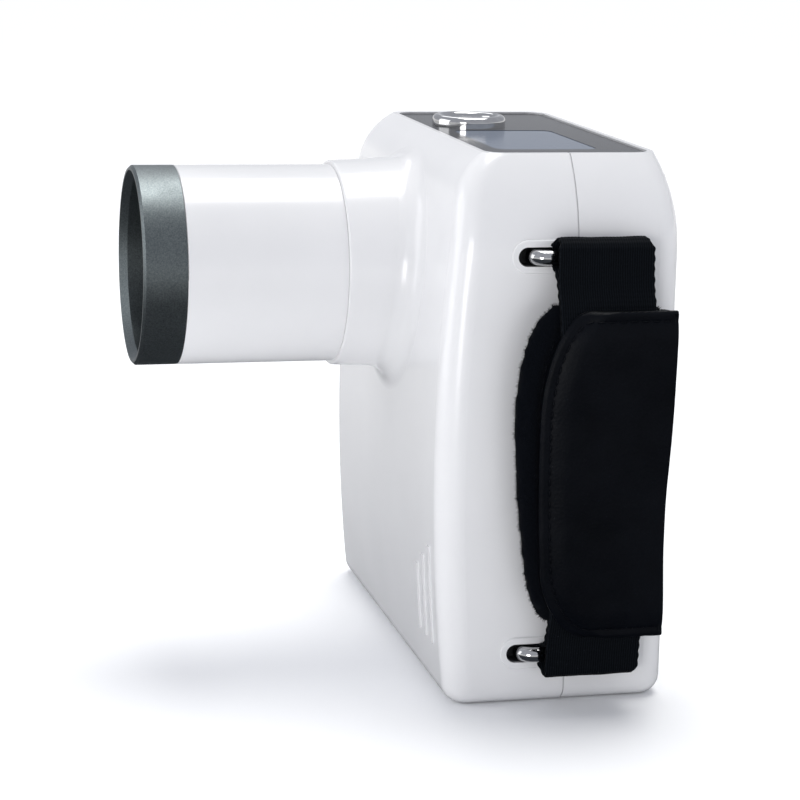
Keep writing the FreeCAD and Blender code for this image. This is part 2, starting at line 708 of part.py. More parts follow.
def power_switch():
    body = rounded_plate((-3, 3), (-3, 3), (-9.9, -6.9), 0.5)
    return placed(body.fuse(rod_z(1.4, 0, 0, (-7.2, -6.4))))


def power_board():
    board = box((-11.0, 9.2), (-4.5, 4.5), (-11.6, -10.0))
    pegs = [rod_z(1.2, x, 0, (-10.2, -2.9)) for x in (-9.4, 7.6)]
    return placed(board.multiFuse(pegs))


# ---- power, control ----
def charging_jack():
    """Flat charging socket: pill-shaped mouth with a contact tongue down its middle."""
    body = box((JACK_X - 5, JACK_X + 5), (32, 45.6), (JACK_Z - 5, JACK_Z + 5))
    jack = body.fuse(pill_y(JACK_HALF_SPAN, JACK_BORE_R + 0.4, JACK_X, JACK_Z, (45, REAR_Y - 0.4)))
    jack = jack.cut(pill_y(JACK_HALF_SPAN, JACK_BORE_R, JACK_X, JACK_Z, (40.5, REAR_Y + 1)))
    return jack.fuse(box((JACK_X - 3.3, JACK_X + 3.3), (40, REAR_Y - 2), (JACK_Z - 0.35, JACK_Z + 0.35)))


def battery_case():
    x = (-CELL_LENGTH / 2 - 4, CELL_LENGTH / 2 + 4)
    y = (CELLS_Y[0] - CELL_R - 1.6, CELLS_Y[-1] + CELL_R + 1.6)
    z = (CELLS_Z - CELL_R - 1.6, CELLS_Z + 4)
    case = rounded_plate(x, y, z, 2.0)
    for cell_y in CELLS_Y:
        bay = rod(CELL_R + 0.2, Vector(x[0] + 2, cell_y, CELLS_Z), Vector(x[1] - 2, cell_y, CELLS_Z))
        case = case.cut(bay)
        span = (cell_y - CELL_R + 0.6, cell_y + CELL_R - 0.6)
        case = case.cut(box((x[0] + 2, x[1] - 2), span, (CELLS_Z, z[1] + 1)))
    return case


def battery_cells():
    half = CELL_LENGTH / 2
    cells = []
    for y in CELLS_Y:
        cell = rod(CELL_R, Vector(-half, y, CELLS_Z), Vector(half, y, CELLS_Z))
        cap = rod(3.0, Vector(half - 0.5, y, CELLS_Z), Vector(half + 1.6, y, CELLS_Z))
        cells.append(cell.fuse(cap))
    return group(cells)


def main_board():
    board = box((-60, 60), MAIN_BOARD_Y, (46, 88))
    parts = [board]
    parts += [box((x, x + 12), (27.5, 30.2), (60, 72)) for x in (-30, -8, 14)]
    parts += [rod_y(4.0, 40, z, (18, 30.2)) for z in (56, 68, 80)]
    board = fused(parts)
    return board.cut(group([rod_y(1.4, x, z, (20, 40)) for x, z in MAIN_BOARD_HOLES]))


def board_standoffs():
    y = (MAIN_BOARD_Y[1] + 0.05, REAR_Y - WALL - 0.05)
    return group([
        rod_y(2.5, x, z, y).cut(rod_y(1.35, x, z, (y[0] - 1, y[0] + 6))) for x, z in MAIN_BOARD_HOLES
    ])


def board_screws():
    y = MAIN_BOARD_Y[0]
    return group([
        rod_y(2.4, x, z, (y - 1.8, y - 0.05)).fuse(rod_y(1.25, x, z, (y - 0.5, y + 6)))
        for x, z in MAIN_BOARD_HOLES
    ])


def buzzer():
    body = rod_y(6.0, -44, 70, (23.5, MAIN_BOARD_Y[0] - 0.05))
    return body.cut(rod_y(1.0, -44, 70, (20, 25)))


# ---- hand strap ----
def strap_bar(z):
    """Staple-shaped rod: straight in front of the slot, with two legs into the casing."""
    x = side_x(z) + BAR_STAND_OFF
    inner = side_x(z) - BAR_LEG_END
    low, high = BAR_LEGS_Y
    r = BAR_BEND_R
    tuck = r * (1 - math.sqrt(0.5))
    edges = [
        Part.makeLine(Vector(inner, low, z), Vector(x - r, low, z)),
        Part.Arc(Vector(x - r, low, z), Vector(x - tuck, low + tuck, z), Vector(x, low + r, z)).toShape(),
        Part.makeLine(Vector(x, low + r, z), Vector(x, high - r, z)),
        Part.Arc(Vector(x, high - r, z), Vector(x - tuck, high - tuck, z), Vector(x - r, high, z)).toShape(),
        Part.makeLine(Vector(x - r, high, z), Vector(inner, high, z)),
    ]
    section = Part.Wire(Part.makeCircle(BAR_R, Vector(inner, low, z), X_AXIS))
    return Part.Wire(edges).makePipeShell([section], True, True)


def strap_bar_nuts():
    nuts = []
    for z in SLOT_Z:
        x = side_x(z) - POCKET_DEPTH - 3.1
        for y in BAR_LEGS_Y:
            corners = []
            for i in range(7):
                angle = math.radians(60 * i)
                corners.append(Vector(x, y + 4.6 * math.cos(angle), z + 4.6 * math.sin(angle)))
            nut = Part.Face(Part.makePolygon(corners)).extrude(Vector(3.0, 0, 0))
            nuts.append(nut.cut(rod(BAR_R + 0.05, Vector(x - 1, y, z), Vector(x + 5, y, z))))
    return group(nuts)


def band_face(points, thickness):
    """A strip of even thickness along a line of (x, z) points."""
    left = []
    right = []
    for i, (x, z) in enumerate(points):
        before = points[max(i - 1, 0)]
        after = points[min(i + 1, len(points) - 1)]
        length = math.hypot(after[0] - before[0], after[1] - before[1])
        normal = (-(after[1] - before[1]) / length, (after[0] - before[0]) / length)
        left.append(Vector(x + normal[0] * thickness / 2, 0, z + normal[1] * thickness / 2))
        right.append(Vector(x - normal[0] * thickness / 2, 0, z - normal[1] * thickness / 2))
    return Part.Face(Part.makePolygon(left + right[::-1] + left[:1]))


def strap_webbing():
    """Doubled webbing from bar to bar. Inside the slots its loops stop short of the bars' rear legs."""
    width = WEB_Y[1] - WEB_Y[0]
    top_x = side_x(SLOT_Z[0]) + BAR_STAND_OFF
    low_x = side_x(SLOT_Z[1]) + BAR_STAND_OFF
    top_z, low_z = SLOT_Z
    route = [
        (top_x + 3.4, top_z + 0.5), (83.8, 135.5), (87.4, 127.0), (WEB_MIDDLE_X, 119.0),
        (WEB_MIDDLE_X, 38.0), (87.7, 30.0), (85.6, 23.0), (low_x + 3.4, low_z - 0.5),
    ]
    band = band_face(route, WEB_THICKNESS).extrude(Vector(0, width, 0))
    band.translate(Vector(0, WEB_Y[0], 0))
    parts = [band]
    for x, z, side in ((top_x, top_z, 1), (low_x, low_z, -1)):
        parts.append(rod_y(WEB_LOOP_R, x, z, WEB_Y))
        parts.append(rod_y(4.2, x + 2.6, z + side * 2.4, WEB_Y))
    webbing = fused(parts)
    for x, z in ((top_x, top_z), (low_x, low_z)):
        webbing = webbing.cut(rod_y(BAR_R + 0.1, x, z, (WEB_Y[0] - 1, WEB_Y[1] + 1)))
        leg_room = (BAR_LEGS_Y[1] - BAR_R - 1.4, WEB_Y[1] + 1)
        webbing = webbing.cut(box((x - 6, x), leg_room, (z - 7, z + 7)))
    return webbing


def rounded_outline(y, z, front_top_r, front_low_r, rear_r):
    """Face in the YZ plane: large radii on the -Y side, small ones on the +Y side."""
    plate = box((0, 1), y, z)

    def corner(cy, cz):
        return [e for e in plate.Edges if abs(e.CenterOfMass.y - cy) < 1e-6
                and abs(e.CenterOfMass.z - cz) < 1e-6]

    plate = plate.makeFillet(front_top_r, corner(y[0], z[1]))
    plate = plate.makeFillet(front_low_r, corner(y[0], z[0]))
    plate = plate.makeFillet(rear_r, corner(y[1], z[0]) + corner(y[1], z[1]))
    return [f for f in plate.Faces if abs(f.CenterOfMass.x) < 1e-6][0]


def strap_pad():
    x = PAD_X
    ends = 11.0
    tip_x = x[0] + 1.4
    outline = [
        (x[0], PAD_Z[0]), (x[0], PAD_Z[1]), (tip_x, PAD_Z[1]), (x[1], PAD_Z[1] - ends),
        (x[1], PAD_Z[0] + ends), (tip_x, PAD_Z[0]),
    ]
    wire = Part.makePolygon([Vector(px, PAD_Y[0], pz) for px, pz in outline + outline[:1]])
    slab = Part.Face(wire).extrude(Vector(0, PAD_Y[1] - PAD_Y[0], 0))
    face = rounded_outline(PAD_Y, PAD_Z, 22.0, 16.0, 5.0)
    face.translate(Vector(70, 0, 0))
    return slab.common(face.extrude(Vector(30, 0, 0)))


def strap_cover():
    face = rounded_outline(COVER_Y, COVER_Z, 16.0, 14.0, 1.5)
    face.translate(Vector(COVER_X[0], 0, 0))
    flap = face.extrude(Vector(COVER_X[1] - COVER_X[0], 0, 0))
    rim = [e for e in flap.Edges if abs(e.BoundBox.XMin - COVER_X[1]) < 1e-6]
    return flap.makeFillet(0.6, rim)


def strap_spine():
    """The leather strip behind the pad that the cover folds on."""
    return box((PAD_X[0] + 0.5, COVER_X[0] - 0.6), SPINE_Y, (COVER_Z[0] + 6, COVER_Z[1] - 6))


def nodes():
    front, rear = split_casing()
    return {
        "front_shell": front,
        "rear_shell": rear,
        "case_screws": case_screws(),
        "screw_plugs": screw_plugs(),
        "tripod_insert": tripod_insert(),
        "cone_tube": cone_tube(),
        "cone_end_ring": cone_end_ring(),
        "lead_liner": lead_liner(),
        "beam_window": beam_window(),
        "collimator": collimator(),
        "aluminium_filter": aluminium_filter(),
        "tank_housing": tank_housing(),
        "tank_seal": tank_seal(),
        "tank_lid": tank_lid(),
        "tank_lid_screws": tank_lid_screws(),
        "tank_screws": tank_screws(),
        "xray_tube_glass": xray_tube_glass(),
        "anode": anode(),
        "tungsten_target": tungsten_target(),
        "cathode_cup": cathode_cup(),
        "transformer_core": transformer_core(),
        "transformer_coil": transformer_coil(),
        "voltage_multiplier": voltage_multiplier(),
        "display_panel": display_panel(),
        "lcd_window": lcd_window(),
        "lcd_module": lcd_module(),
        "display_board": display_board(),
        "display_screws": display_screws(),
        "exposure_bezel": exposure_bezel(),
        "exposure_button": exposure_button(),
        "exposure_spring": exposure_spring(),
        "exposure_switch": exposure_switch(),
        "power_button": power_button(),
        "power_switch": power_switch(),
        "power_board": power_board(),
        "charging_jack": charging_jack(),
        "battery_case": battery_case(),
        "battery_cells": battery_cells(),
        "main_board": main_board(),
        "board_standoffs": board_standoffs(),
        "board_screws": board_screws(),
        "buzzer": buzzer(),
        "upper_strap_bar": strap_bar(SLOT_Z[0]),
        "lower_strap_bar": strap_bar(SLOT_Z[1]),
        "strap_bar_nuts": strap_bar_nuts(),
        "strap_webbing": strap_webbing(),
        "strap_pad": strap_pad(),
        "strap_cover": strap_cover(),
        "strap_spine": strap_spine(),
    }


def main():
    os.makedirs("parts", exist_ok=True)
    for name, shape in nodes().items():
        print(name, len(shape.Solids), shape.isValid(), round(shape.Volume / 1000, 2))
        shape.exportStep(f"parts/{name}.step")


main()
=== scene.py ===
"""Visual model of a handheld intraoral x-ray unit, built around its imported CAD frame.

Pieces are worked out in millimetres and become metres in new_piece.
"""

import collections
import functools
import json
import math
import random

import bpy
import numpy as np
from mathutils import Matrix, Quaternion, Vector, noise
from mathutils.kdtree import KDTree


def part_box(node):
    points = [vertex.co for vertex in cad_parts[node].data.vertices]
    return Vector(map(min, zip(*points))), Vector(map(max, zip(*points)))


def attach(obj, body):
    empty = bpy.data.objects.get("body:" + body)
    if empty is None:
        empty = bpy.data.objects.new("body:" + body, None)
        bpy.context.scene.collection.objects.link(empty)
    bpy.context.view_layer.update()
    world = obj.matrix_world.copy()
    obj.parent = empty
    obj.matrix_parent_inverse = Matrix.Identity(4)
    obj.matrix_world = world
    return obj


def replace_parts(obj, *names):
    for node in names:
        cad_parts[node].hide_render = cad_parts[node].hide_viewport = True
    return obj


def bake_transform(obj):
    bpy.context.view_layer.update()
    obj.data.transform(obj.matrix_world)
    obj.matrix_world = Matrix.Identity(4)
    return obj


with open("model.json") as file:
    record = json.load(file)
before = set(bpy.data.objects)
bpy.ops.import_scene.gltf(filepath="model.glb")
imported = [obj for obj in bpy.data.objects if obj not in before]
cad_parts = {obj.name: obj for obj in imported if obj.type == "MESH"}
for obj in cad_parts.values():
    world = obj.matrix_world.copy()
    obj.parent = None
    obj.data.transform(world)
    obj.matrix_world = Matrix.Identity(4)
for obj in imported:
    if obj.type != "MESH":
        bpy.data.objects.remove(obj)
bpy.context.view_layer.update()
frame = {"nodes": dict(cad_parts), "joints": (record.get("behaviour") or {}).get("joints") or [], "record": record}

MM = 0.001

# ---- camera, lights and floor, in metres ----
CAMERA_AT = Vector((0.75294, -0.20947, 0.25624))
CAMERA_AIM = Vector((0.0, -0.02202, 0.08210))
CAMERA_ROLL = math.radians(1.5)
CAMERA_LENS = 105.93
SENSOR_WIDTH = 36.0
FLOOR_HALF = 14.0
LIGHTS_AIM = (0.0, -0.02, 0.09)
STRIP_AIM = (0, -0.06, 0.13)
# The sky's places run from 0 straight down to 1 straight up, with the horizon at 0.5.
SKY_DIM_UP_TO = 0.34
SKY_WHITE_BAND = (0.495, 0.515)
SKY_EVEN_FROM = 0.55
SKY_BELOW = (0.05, 0.055, 0.065, 1)
SKY_ABOVE = (0.48, 0.495, 0.54, 1)

# ---- strap slots and the black cups of painted shade inside them, in millimetres from here down ----
BAR_R = 2.4
SHADE_CUP_R = 2.95
SHADE_CUP_WALL = 0.25
SHADE_CUP_FLOOR = 0.3
SHADE_CUP_DEEP = 5.4
SHADE_CUP_SHALLOW = 0.5
SHADE_CUP_PAST_FRONT = 2.55
SHADE_CUP_PAST_REAR = 0.95

# ---- webbing: its inner layer is out of sight between the two hidden heights ----
WEB_HALF_THICKNESS = 0.55
WEB_LAYER_OFFSET = 0.7
WEB_RIB_PITCH = 1.6
WEB_RIB_HEIGHT = 0.2
WEB_RIB_PINCH = 0.3
WEB_COLUMN_PITCH = 1.1
WEB_FINE_STEP = 0.27
WEB_COARSE_STEP = 1.6
WEB_OUTER_COLUMNS = 104
WEB_INNER_COLUMNS = 12
WEB_HIDDEN_Z = (32, 120)
WEB_END_HEIGHT = 3.5
WEB_REAR_EASE = 0.4
WEB_REAR_DRAWN_IN = 1.4
WEB_FRONT_INSET = 0.2
WEB_FRONT_DRAWN_IN = 0.9
WEB_EDGE_WAVE = 0.14
WEB_EDGE_DRIFT = 0.2
WEB_EDGE_ROUND = 0.9
WEB_SWAY = 0.18
WEB_TUCK_REACH = 9
WEB_TUCK_START = 1.2
WEB_TUCK_RUN = 1.6
WEB_LEG_ROOM = 3.7
# The belt's middle line round a bar, as (x, z) from its axis: from outside it, over it and back under it.
LOOP_ROUND_BAR = [
    (6.0, 1.5), (5.6, 4.3), (2.6, 6.0), (-0.4, 5.0), (-2.4, 2.6),
    (-2.95, 0.0), (-1.9, -2.3), (0.6, -3.2), (3.2, -4.6),
]
# The belt between the bars, as (how far in it lies from its layer's outermost x, a height): above the lower
# bar, above the floor, or below the upper bar. The outer layer runs up and the inner one down.
OUTER_OVER_BASE = [(2.6, 8)]
OUTER_BETWEEN = [(1.1, 31), (0, 39), (0, 60), (0, 98), (0, 118)]
OUTER_UNDER_TOP = [(2.0, 15.5), (5.2, 7)]
INNER_UNDER_TOP = [(3.9, 10), (1.2, 18)]
INNER_BETWEEN = [(0, 117), (0, 98), (0, 60), (0, 38), (1.3, 30)]
INNER_OVER_BASE = [(3.5, 7)]

# ---- pad and cover outlines ----
# The front edge leans back from lean_from below the top. A corner is how far it turns in, and its height.
Outline = collections.namedtuple("Outline", "node lean lean_from top_corner base_corner")
PAD_OUTLINE = Outline("strap_pad", 0.00192, 35, (12.5, 33), (5, 17.5))
COVER_OUTLINE = Outline("strap_cover", 0.0009, 39, (15, 35.5), (14, 22.5))
REAR_BOW_LEAST = 1.0
REAR_BOW_MORE = 1.5
REAR_BOW_Z = 62
REAR_BOW_SPREAD = 26
PAD_REAR_INSET = 0.6
PAD_REAR_CORNER = (5, 6)
EDGE_POINT_STEP = 0.4

# ---- pad: near is how far in the first rows and columns lie from its edges ----
PAD_NEAR = [0.0, 0.1, 0.4, 0.9, 1.6, 2.5, 3.6, 4.9]
PAD_STEP = 1.6
PAD_INSET = 0.4
PAD_FACE_INSET = 0.5
PAD_FRONT_EASE = 0.3
PAD_RIM = 3.5
PAD_OUTER_ROUND = 0.9
PAD_INNER_ROUND = 0.6
PAD_THINNEST = 1.9
PAD_END_DROP = 1.9
PAD_TOP_DROP_HEIGHT = 9
PAD_BASE_DROP_HEIGHT = 8
PAD_VOXEL = 1.2
PAD_RELAX_STEPS = 6
PAD_PRESSURE = 4.0
PAD_CAP = 0.55
CLOTH_FRAMES = 20
CLOTH_MASS = 0.2
CLOTH_STIFFNESS = 20
CLOTH_BENDING = 0.6
SEAM_INSET = 7.4
SEAM_DEPTH = 0.55
SEAM_HALF_WIDTH = 1.1
SEAM_SEWN_Y = 5
SEAM_SEWN_ENDS = (14, 8)
SEAM_POINT_STEP = 0.8
PILE_COARSE = 0.14
PILE_FINE = 0.12
PILE_FACING_OUT = 0.2
RIM_FACING_ASIDE = 0.6
FIBRES = 2200
FIBRE_LEAN = 0.6
FIBRE_ROOT = 0.25
FIBRE_R = 0.11
FIBRE_LENGTH = (0.8, 1.5)

# ---- cover and its rear fold ----
COVER_NEAR = [0.0, 0.12, 0.3, 0.55, 0.9, 1.3, 1.8, 2.3, 2.7, 3.0, 3.3, 3.8, 4.5]
COVER_STEP = 0.9
COVER_THICKNESS = 1.7
COVER_FACE_INSET = 0.25
COVER_DROOP = 2.2
COVER_DROOP_WIDTH = 9.0
COVER_END_DROP = 0.9
COVER_END_HEIGHT = 9
COVER_RIM_DROP = 0.75
COVER_RIM_WIDTH = 0.9
COVER_GROOVE = 0.28
COVER_GROOVE_WIDTH = 0.55
COVER_BEAD = 0.14
COVER_BEAD_AT = 1.1
COVER_BEAD_WIDTH = 0.45
COVER_RIPPLE = 0.22
COVER_CREASE = 0.1
SPINE_ROWS = 70
SPINE_COLUMNS = 24
SPINE_END_INSET = 0.8
SPINE_PAD_LAP = (1.4, 0.9)
SPINE_COVER_LAP = (1.0, 0.3)
SPINE_BULGE = 1.2
SPINE_CREASE = 0.18
SPINE_THICKNESS = 1.1

# ---- stitches ----
STITCH_INSET = 3.0
STITCH_LENGTH = 2.5
STITCH_GAP = 1.0
STITCH_RINGS = 7
STITCH_ARCH = 0.26
STITCH_SINK = 0.14
STITCH_TAPER = 0.45
STITCH_LIFT = 0.12
THREAD_R = 0.24
THREAD_SIDES = 7

# ---- button spring ----
SPRING_TURNS = 5
SPRING_STEPS = 40
SPRING_WIRE = (0.9, 0.6)
SPRING_EASE = 0.03


def smooth(t):
    """An even rise from 0 to 1 that starts and ends level."""
    t = min(max(t, 0.0), 1.0)
    return t * t * (3 - 2 * t)


def corner(t):
    """How far an elliptical corner has turned in, from 0 where it starts to 1 where it ends."""
    t = min(max(t, 0.0), 1.0)
    return 1.0 - math.sqrt(1.0 - t * t)


def bell(distance, half_width):
    """A smooth rise to 1 where the distance is 0."""
    return math.exp(-((distance / half_width) ** 2))


@functools.lru_cache(maxsize=None)
def box_mm(node):
    """A node's lowest and highest corner at rest, in millimetres."""
    low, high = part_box(node)
    return low / MM, high / MM


# ---- materials ----
def new_finish(name, colour, roughness, metallic=0.0, **constants):
    """A Principled material. Values that are even over the surface sit on the shader's own sockets."""
    mat = bpy.data.materials.new(name)
    mat.use_nodes = True
    shader = mat.node_tree.nodes["Principled BSDF"]
    shader.inputs["Base Color"].default_value = (*colour, 1.0)
    shader.inputs["Roughness"].default_value = roughness
    shader.inputs["Metallic"].default_value = metallic
    for socket, value in constants.items():
        shader.inputs[socket.replace("_", " ")].default_value = value
    return mat


def pattern(mat, kind, scale, stretch=(1, 1, 1), output=0, bands=None, **settings):
    """A procedural texture in the object's own coordinates, as its output socket."""
    nodes, links = mat.node_tree.nodes, mat.node_tree.links
    place = nodes.new("ShaderNodeTexCoord")
    mapping = nodes.new("ShaderNodeMapping")
    mapping.inputs["Scale"].default_value = stretch
    texture = nodes.new("ShaderNodeTex" + kind)
    texture.inputs["Scale"].default_value = scale
    if bands:
        texture.bands_direction = bands
    for socket, value in settings.items():
        texture.inputs[socket.replace("_", " ")].default_value = value
    links.new(place.outputs["Object"], mapping.inputs["Vector"])
    links.new(mapping.outputs["Vector"], texture.inputs["Vector"])
    return texture.outputs[output]


def tint(mat, source, dark, light, low=0.3, high=0.7):
    """Base colour that runs from dark to light with the pattern."""
    ramp = mat.node_tree.nodes.new("ShaderNodeValToRGB")
    ramp.color_ramp.elements[0].position = low
    ramp.color_ramp.elements[0].color = (*dark, 1.0)
    ramp.color_ramp.elements[1].position = high
    ramp.color_ramp.elements[1].color = (*light, 1.0)
    mat.node_tree.links.new(source, ramp.inputs["Fac"])
    shader = mat.node_tree.nodes["Principled BSDF"]
    mat.node_tree.links.new(ramp.outputs["Color"], shader.inputs["Base Color"])


def vary_roughness(mat, source, low, high):
    """Roughness that runs from low to high with the pattern."""
    span = mat.node_tree.nodes.new("ShaderNodeMapRange")
    span.inputs["To Min"].default_value = low
    span.inputs["To Max"].default_value = high
    mat.node_tree.links.new(source, span.inputs["Value"])
    shader = mat.node_tree.nodes["Principled BSDF"]
    mat.node_tree.links.new(span.outputs["Result"], shader.inputs["Roughness"])


def relief(mat, source, depth_mm, strength=1.0):
    """Bump of that depth, on top of any relief that the material already has."""
    links = mat.node_tree.links
    normal = mat.node_tree.nodes["Principled BSDF"].inputs["Normal"]
    bump = mat.node_tree.nodes.new("ShaderNodeBump")
    bump.inputs["Distance"].default_value = depth_mm * MM
    bump.inputs["Strength"].default_value = strength
    if normal.is_linked:
        links.new(normal.links[0].from_socket, bump.inputs["Normal"])
    links.new(source, bump.inputs["Height"])
    links.new(bump.outputs["Normal"], normal)


def moulded(name, dark, light, roughness, peel_mm=0.001, **constants):
    """Moulded plastic: faint clouding, uneven gloss and a little orange peel."""
    mat = new_finish(name, light, roughness, **constants)
    tint(mat, pattern(mat, "Noise", 24, Detail=3), dark, light)
    vary_roughness(mat, pattern(mat, "Noise", 30, Detail=1), roughness * 0.85, roughness * 1.15)
    relief(mat, pattern(mat, "Noise", 260, Detail=2), peel_mm, 0.6)
    return mat


def metal(name, dark, light, roughness, grain=1500, grain_mm=0.01, stretch=(1, 1, 1), metallic=1.0):
    """Metal with a grain, which a stretch turns into brushing."""
    mat = new_finish(name, light, roughness, metallic)
    grain_source = pattern(mat, "Noise", grain, stretch, Detail=5, Roughness=0.7)
    tint(mat, grain_source, dark, light)
    vary_roughness(mat, pattern(mat, "Noise", 120, Detail=4), roughness * 0.8, roughness * 1.25)
    relief(mat, grain_source, grain_mm, 0.7)
    return mat


def leather():
    """Black leather: a fine cell grain with soft creasing over it."""
    mat = new_finish("leather_black", (0.002, 0.003, 0.005), 0.45, Specular_IOR_Level=0.08)
    grain = pattern(mat, "Voronoi", 1150, output="Distance")
    tint(mat, pattern(mat, "Noise", 60, Detail=6), (0.0008, 0.0014, 0.003), (0.002, 0.0028, 0.005))
    vary_roughness(mat, pattern(mat, "Noise", 160, Detail=5), 0.36, 0.54)
    relief(mat, grain, 0.1, 0.5)
    relief(mat, pattern(mat, "Noise", 220, Detail=8, Roughness=0.65), 0.12, 0.5)
    return mat


def velour():
    """Brushed black pile, with a faint sheen and a deep fine nap."""
    mat = new_finish(
        "pad_black", (0.002, 0.003, 0.005), 0.95,
        Specular_IOR_Level=0.03, Sheen_Weight=0.03, Sheen_Roughness=0.5,
    )
    pile = pattern(mat, "Noise", 2400, Detail=6, Roughness=0.75)
    tint(mat, pile, (0.0006, 0.001, 0.002), (0.003, 0.004, 0.0065))
    relief(mat, pile, 0.35, 0.9)
    relief(mat, pattern(mat, "Noise", 320, Detail=5), 0.3, 0.5)
    return mat


def woven():
    """Black webbing: fine yarns that run along the belt."""
    mat = new_finish(
        "webbing_black", (0.003, 0.004, 0.006), 0.75,
        Specular_IOR_Level=0.05, Sheen_Weight=0.01, Sheen_Roughness=0.4,
    )
    yarn = pattern(mat, "Wave", 420, bands="Y", Distortion=1.5, Detail=3)
    tint(mat, yarn, (0.0008, 0.0013, 0.0022), (0.004, 0.0055, 0.008))
    relief(mat, yarn, 0.08, 0.8)
    relief(mat, pattern(mat, "Noise", 3600, Detail=4), 0.08, 0.6)
    return mat


def circuit_board():
    """Green solder mask over a raised pattern of tracks."""
    mat = new_finish("circuit_green", (0.02, 0.14, 0.06), 0.35, Coat_Weight=0.4)
    tracks = pattern(mat, "Brick", 60, Mortar_Size=0.03, output="Fac")
    tint(mat, tracks, (0.015, 0.11, 0.045), (0.05, 0.22, 0.1), 0.1, 0.9)
    relief(mat, tracks, 0.04)
    return mat


def wound_copper():
    """Copper wire in turns stacked along Z."""
    mat = new_finish("copper", (0.72, 0.33, 0.17), 0.3, 1.0)
    turns = pattern(mat, "Wave", 420, bands="Z", Distortion=0.3)
    tint(mat, turns, (0.32, 0.13, 0.06), (0.78, 0.38, 0.2))
    relief(mat, turns, 0.15)
    return mat


def clear(name, colour, roughness, **constants):
    """Clear glass with a slight ripple."""
    mat = new_finish(name, colour, roughness, Transmission_Weight=1.0, **constants)
    vary_roughness(mat, pattern(mat, "Noise", 80, Detail=3), roughness * 0.6, roughness * 1.6)
    relief(mat, pattern(mat, "Noise", 40, Detail=2), 0.03, 0.3)
    return mat


def lcd():
    """A blank liquid-crystal window under gloss."""
    mat = new_finish("lcd_grey", (0.12, 0.16, 0.22), 0.14, Specular_IOR_Level=0.08)
    tint(mat, pattern(mat, "Noise", 1600, Detail=3), (0.095, 0.122, 0.175), (0.122, 0.155, 0.21))
    relief(mat, pattern(mat, "Noise", 500, Detail=2), 0.003, 0.5)
    return mat


def all_finishes():
    """One material for each of the record's slots."""
    return {
        "white_shell": moulded(
            "white_shell", (0.735, 0.735, 0.745), (0.765, 0.765, 0.775), 0.24,
            Coat_Weight=0.35, Coat_Roughness=0.12,
        ),
        "dark_ring": metal(
            "dark_ring", (0.09, 0.105, 0.11), (0.19, 0.215, 0.22), 0.42, 1900, 0.02, metallic=0.92,
        ),
        "panel_gloss": moulded(
            "panel_gloss", (0.014, 0.015, 0.017), (0.02, 0.021, 0.024), 0.12, Specular_IOR_Level=0.05,
        ),
        "lcd_grey": lcd(),
        "chrome": metal("chrome", (0.5, 0.5, 0.51), (0.6, 0.6, 0.6), 0.1, 600, 0.002),
        "steel": metal("steel", (0.38, 0.38, 0.39), (0.55, 0.55, 0.56), 0.3, 900, 0.008, (1, 1, 6)),
        "webbing_black": woven(),
        "pad_black": velour(),
        "leather_black": leather(),
        "circuit_green": circuit_board(),
        "black_plastic": moulded(
            "black_plastic", (0.012, 0.012, 0.013), (0.022, 0.022, 0.025), 0.45, 0.02,
        ),
        "grey_button": moulded("grey_button", (0.14, 0.15, 0.16), (0.2, 0.21, 0.22), 0.5, 0.015),
        "copper": wound_copper(),
        "lead": metal(
            "lead", (0.03, 0.038, 0.042), (0.075, 0.088, 0.095), 0.45, 500, 0.02, metallic=0.6,
        ),
        "aluminium": metal("aluminium", (0.5, 0.51, 0.53), (0.68, 0.69, 0.7), 0.42, 1200, 0.015),
        "glass": clear("glass", (0.9, 0.95, 0.95), 0.04, IOR=1.47),
        "clear_plastic": moulded(
            "clear_plastic", (0.03, 0.033, 0.036), (0.05, 0.053, 0.056), 0.35, 0.01,
        ),
        "brass": metal("brass", (0.5, 0.34, 0.13), (0.75, 0.56, 0.26), 0.28, 800, 0.01, (1, 1, 8)),
        "rubber": moulded("rubber", (0.012, 0.012, 0.012), (0.025, 0.025, 0.025), 0.8, 0.04),
        "ferrite": metal(
            "ferrite", (0.03, 0.03, 0.032), (0.08, 0.08, 0.085), 0.6, 700, 0.03, metallic=0.4,
        ),
        "cell_blue": moulded(
            "cell_blue", (0.035, 0.1, 0.23), (0.06, 0.15, 0.32), 0.3, 0.004, Coat_Weight=0.3,
        ),
    }


finishes = all_finishes()


def finish_cad_nodes():
    """Gives every CAD node the finish of its slot in the record."""
    for row in frame["record"]["subparts"]:
        mesh = frame["nodes"][row["node"]].data
        mesh.materials.clear()
        mesh.materials.append(finishes[row["material_slot"]])


# ---- mesh helpers ----
def shade(mesh, rounded):
    """Smooth shading on every face where rounded is true, and flat shading where it isn't."""
    mesh.polygons.foreach_set("use_smooth", [rounded] * len(mesh.polygons))


def new_piece(name, points_mm, faces, slot_name, rounded=True):
    """An object from points in millimetres, in its slot's finish."""
    mesh = bpy.data.meshes.new(name)
    mesh.from_pydata([Vector(p) * MM for p in points_mm], [], faces)
    mesh.update()
    shade(mesh, rounded)
    mesh.materials.append(finishes[slot_name])
    piece = bpy.data.objects.new(name, mesh)
    bpy.context.scene.collection.objects.link(piece)
    return piece


def ring_faces(rows, columns, closed):
    """Quads between consecutive rings of points. Closed joins the last ring to the first."""
    faces = []
    for i in range(rows if closed else rows - 1):
        here, there = i * columns, (i + 1) % rows * columns
        for j in range(columns):
            k = (j + 1) % columns
            faces.append((here + j, here + k, there + k, there + j))
    return faces


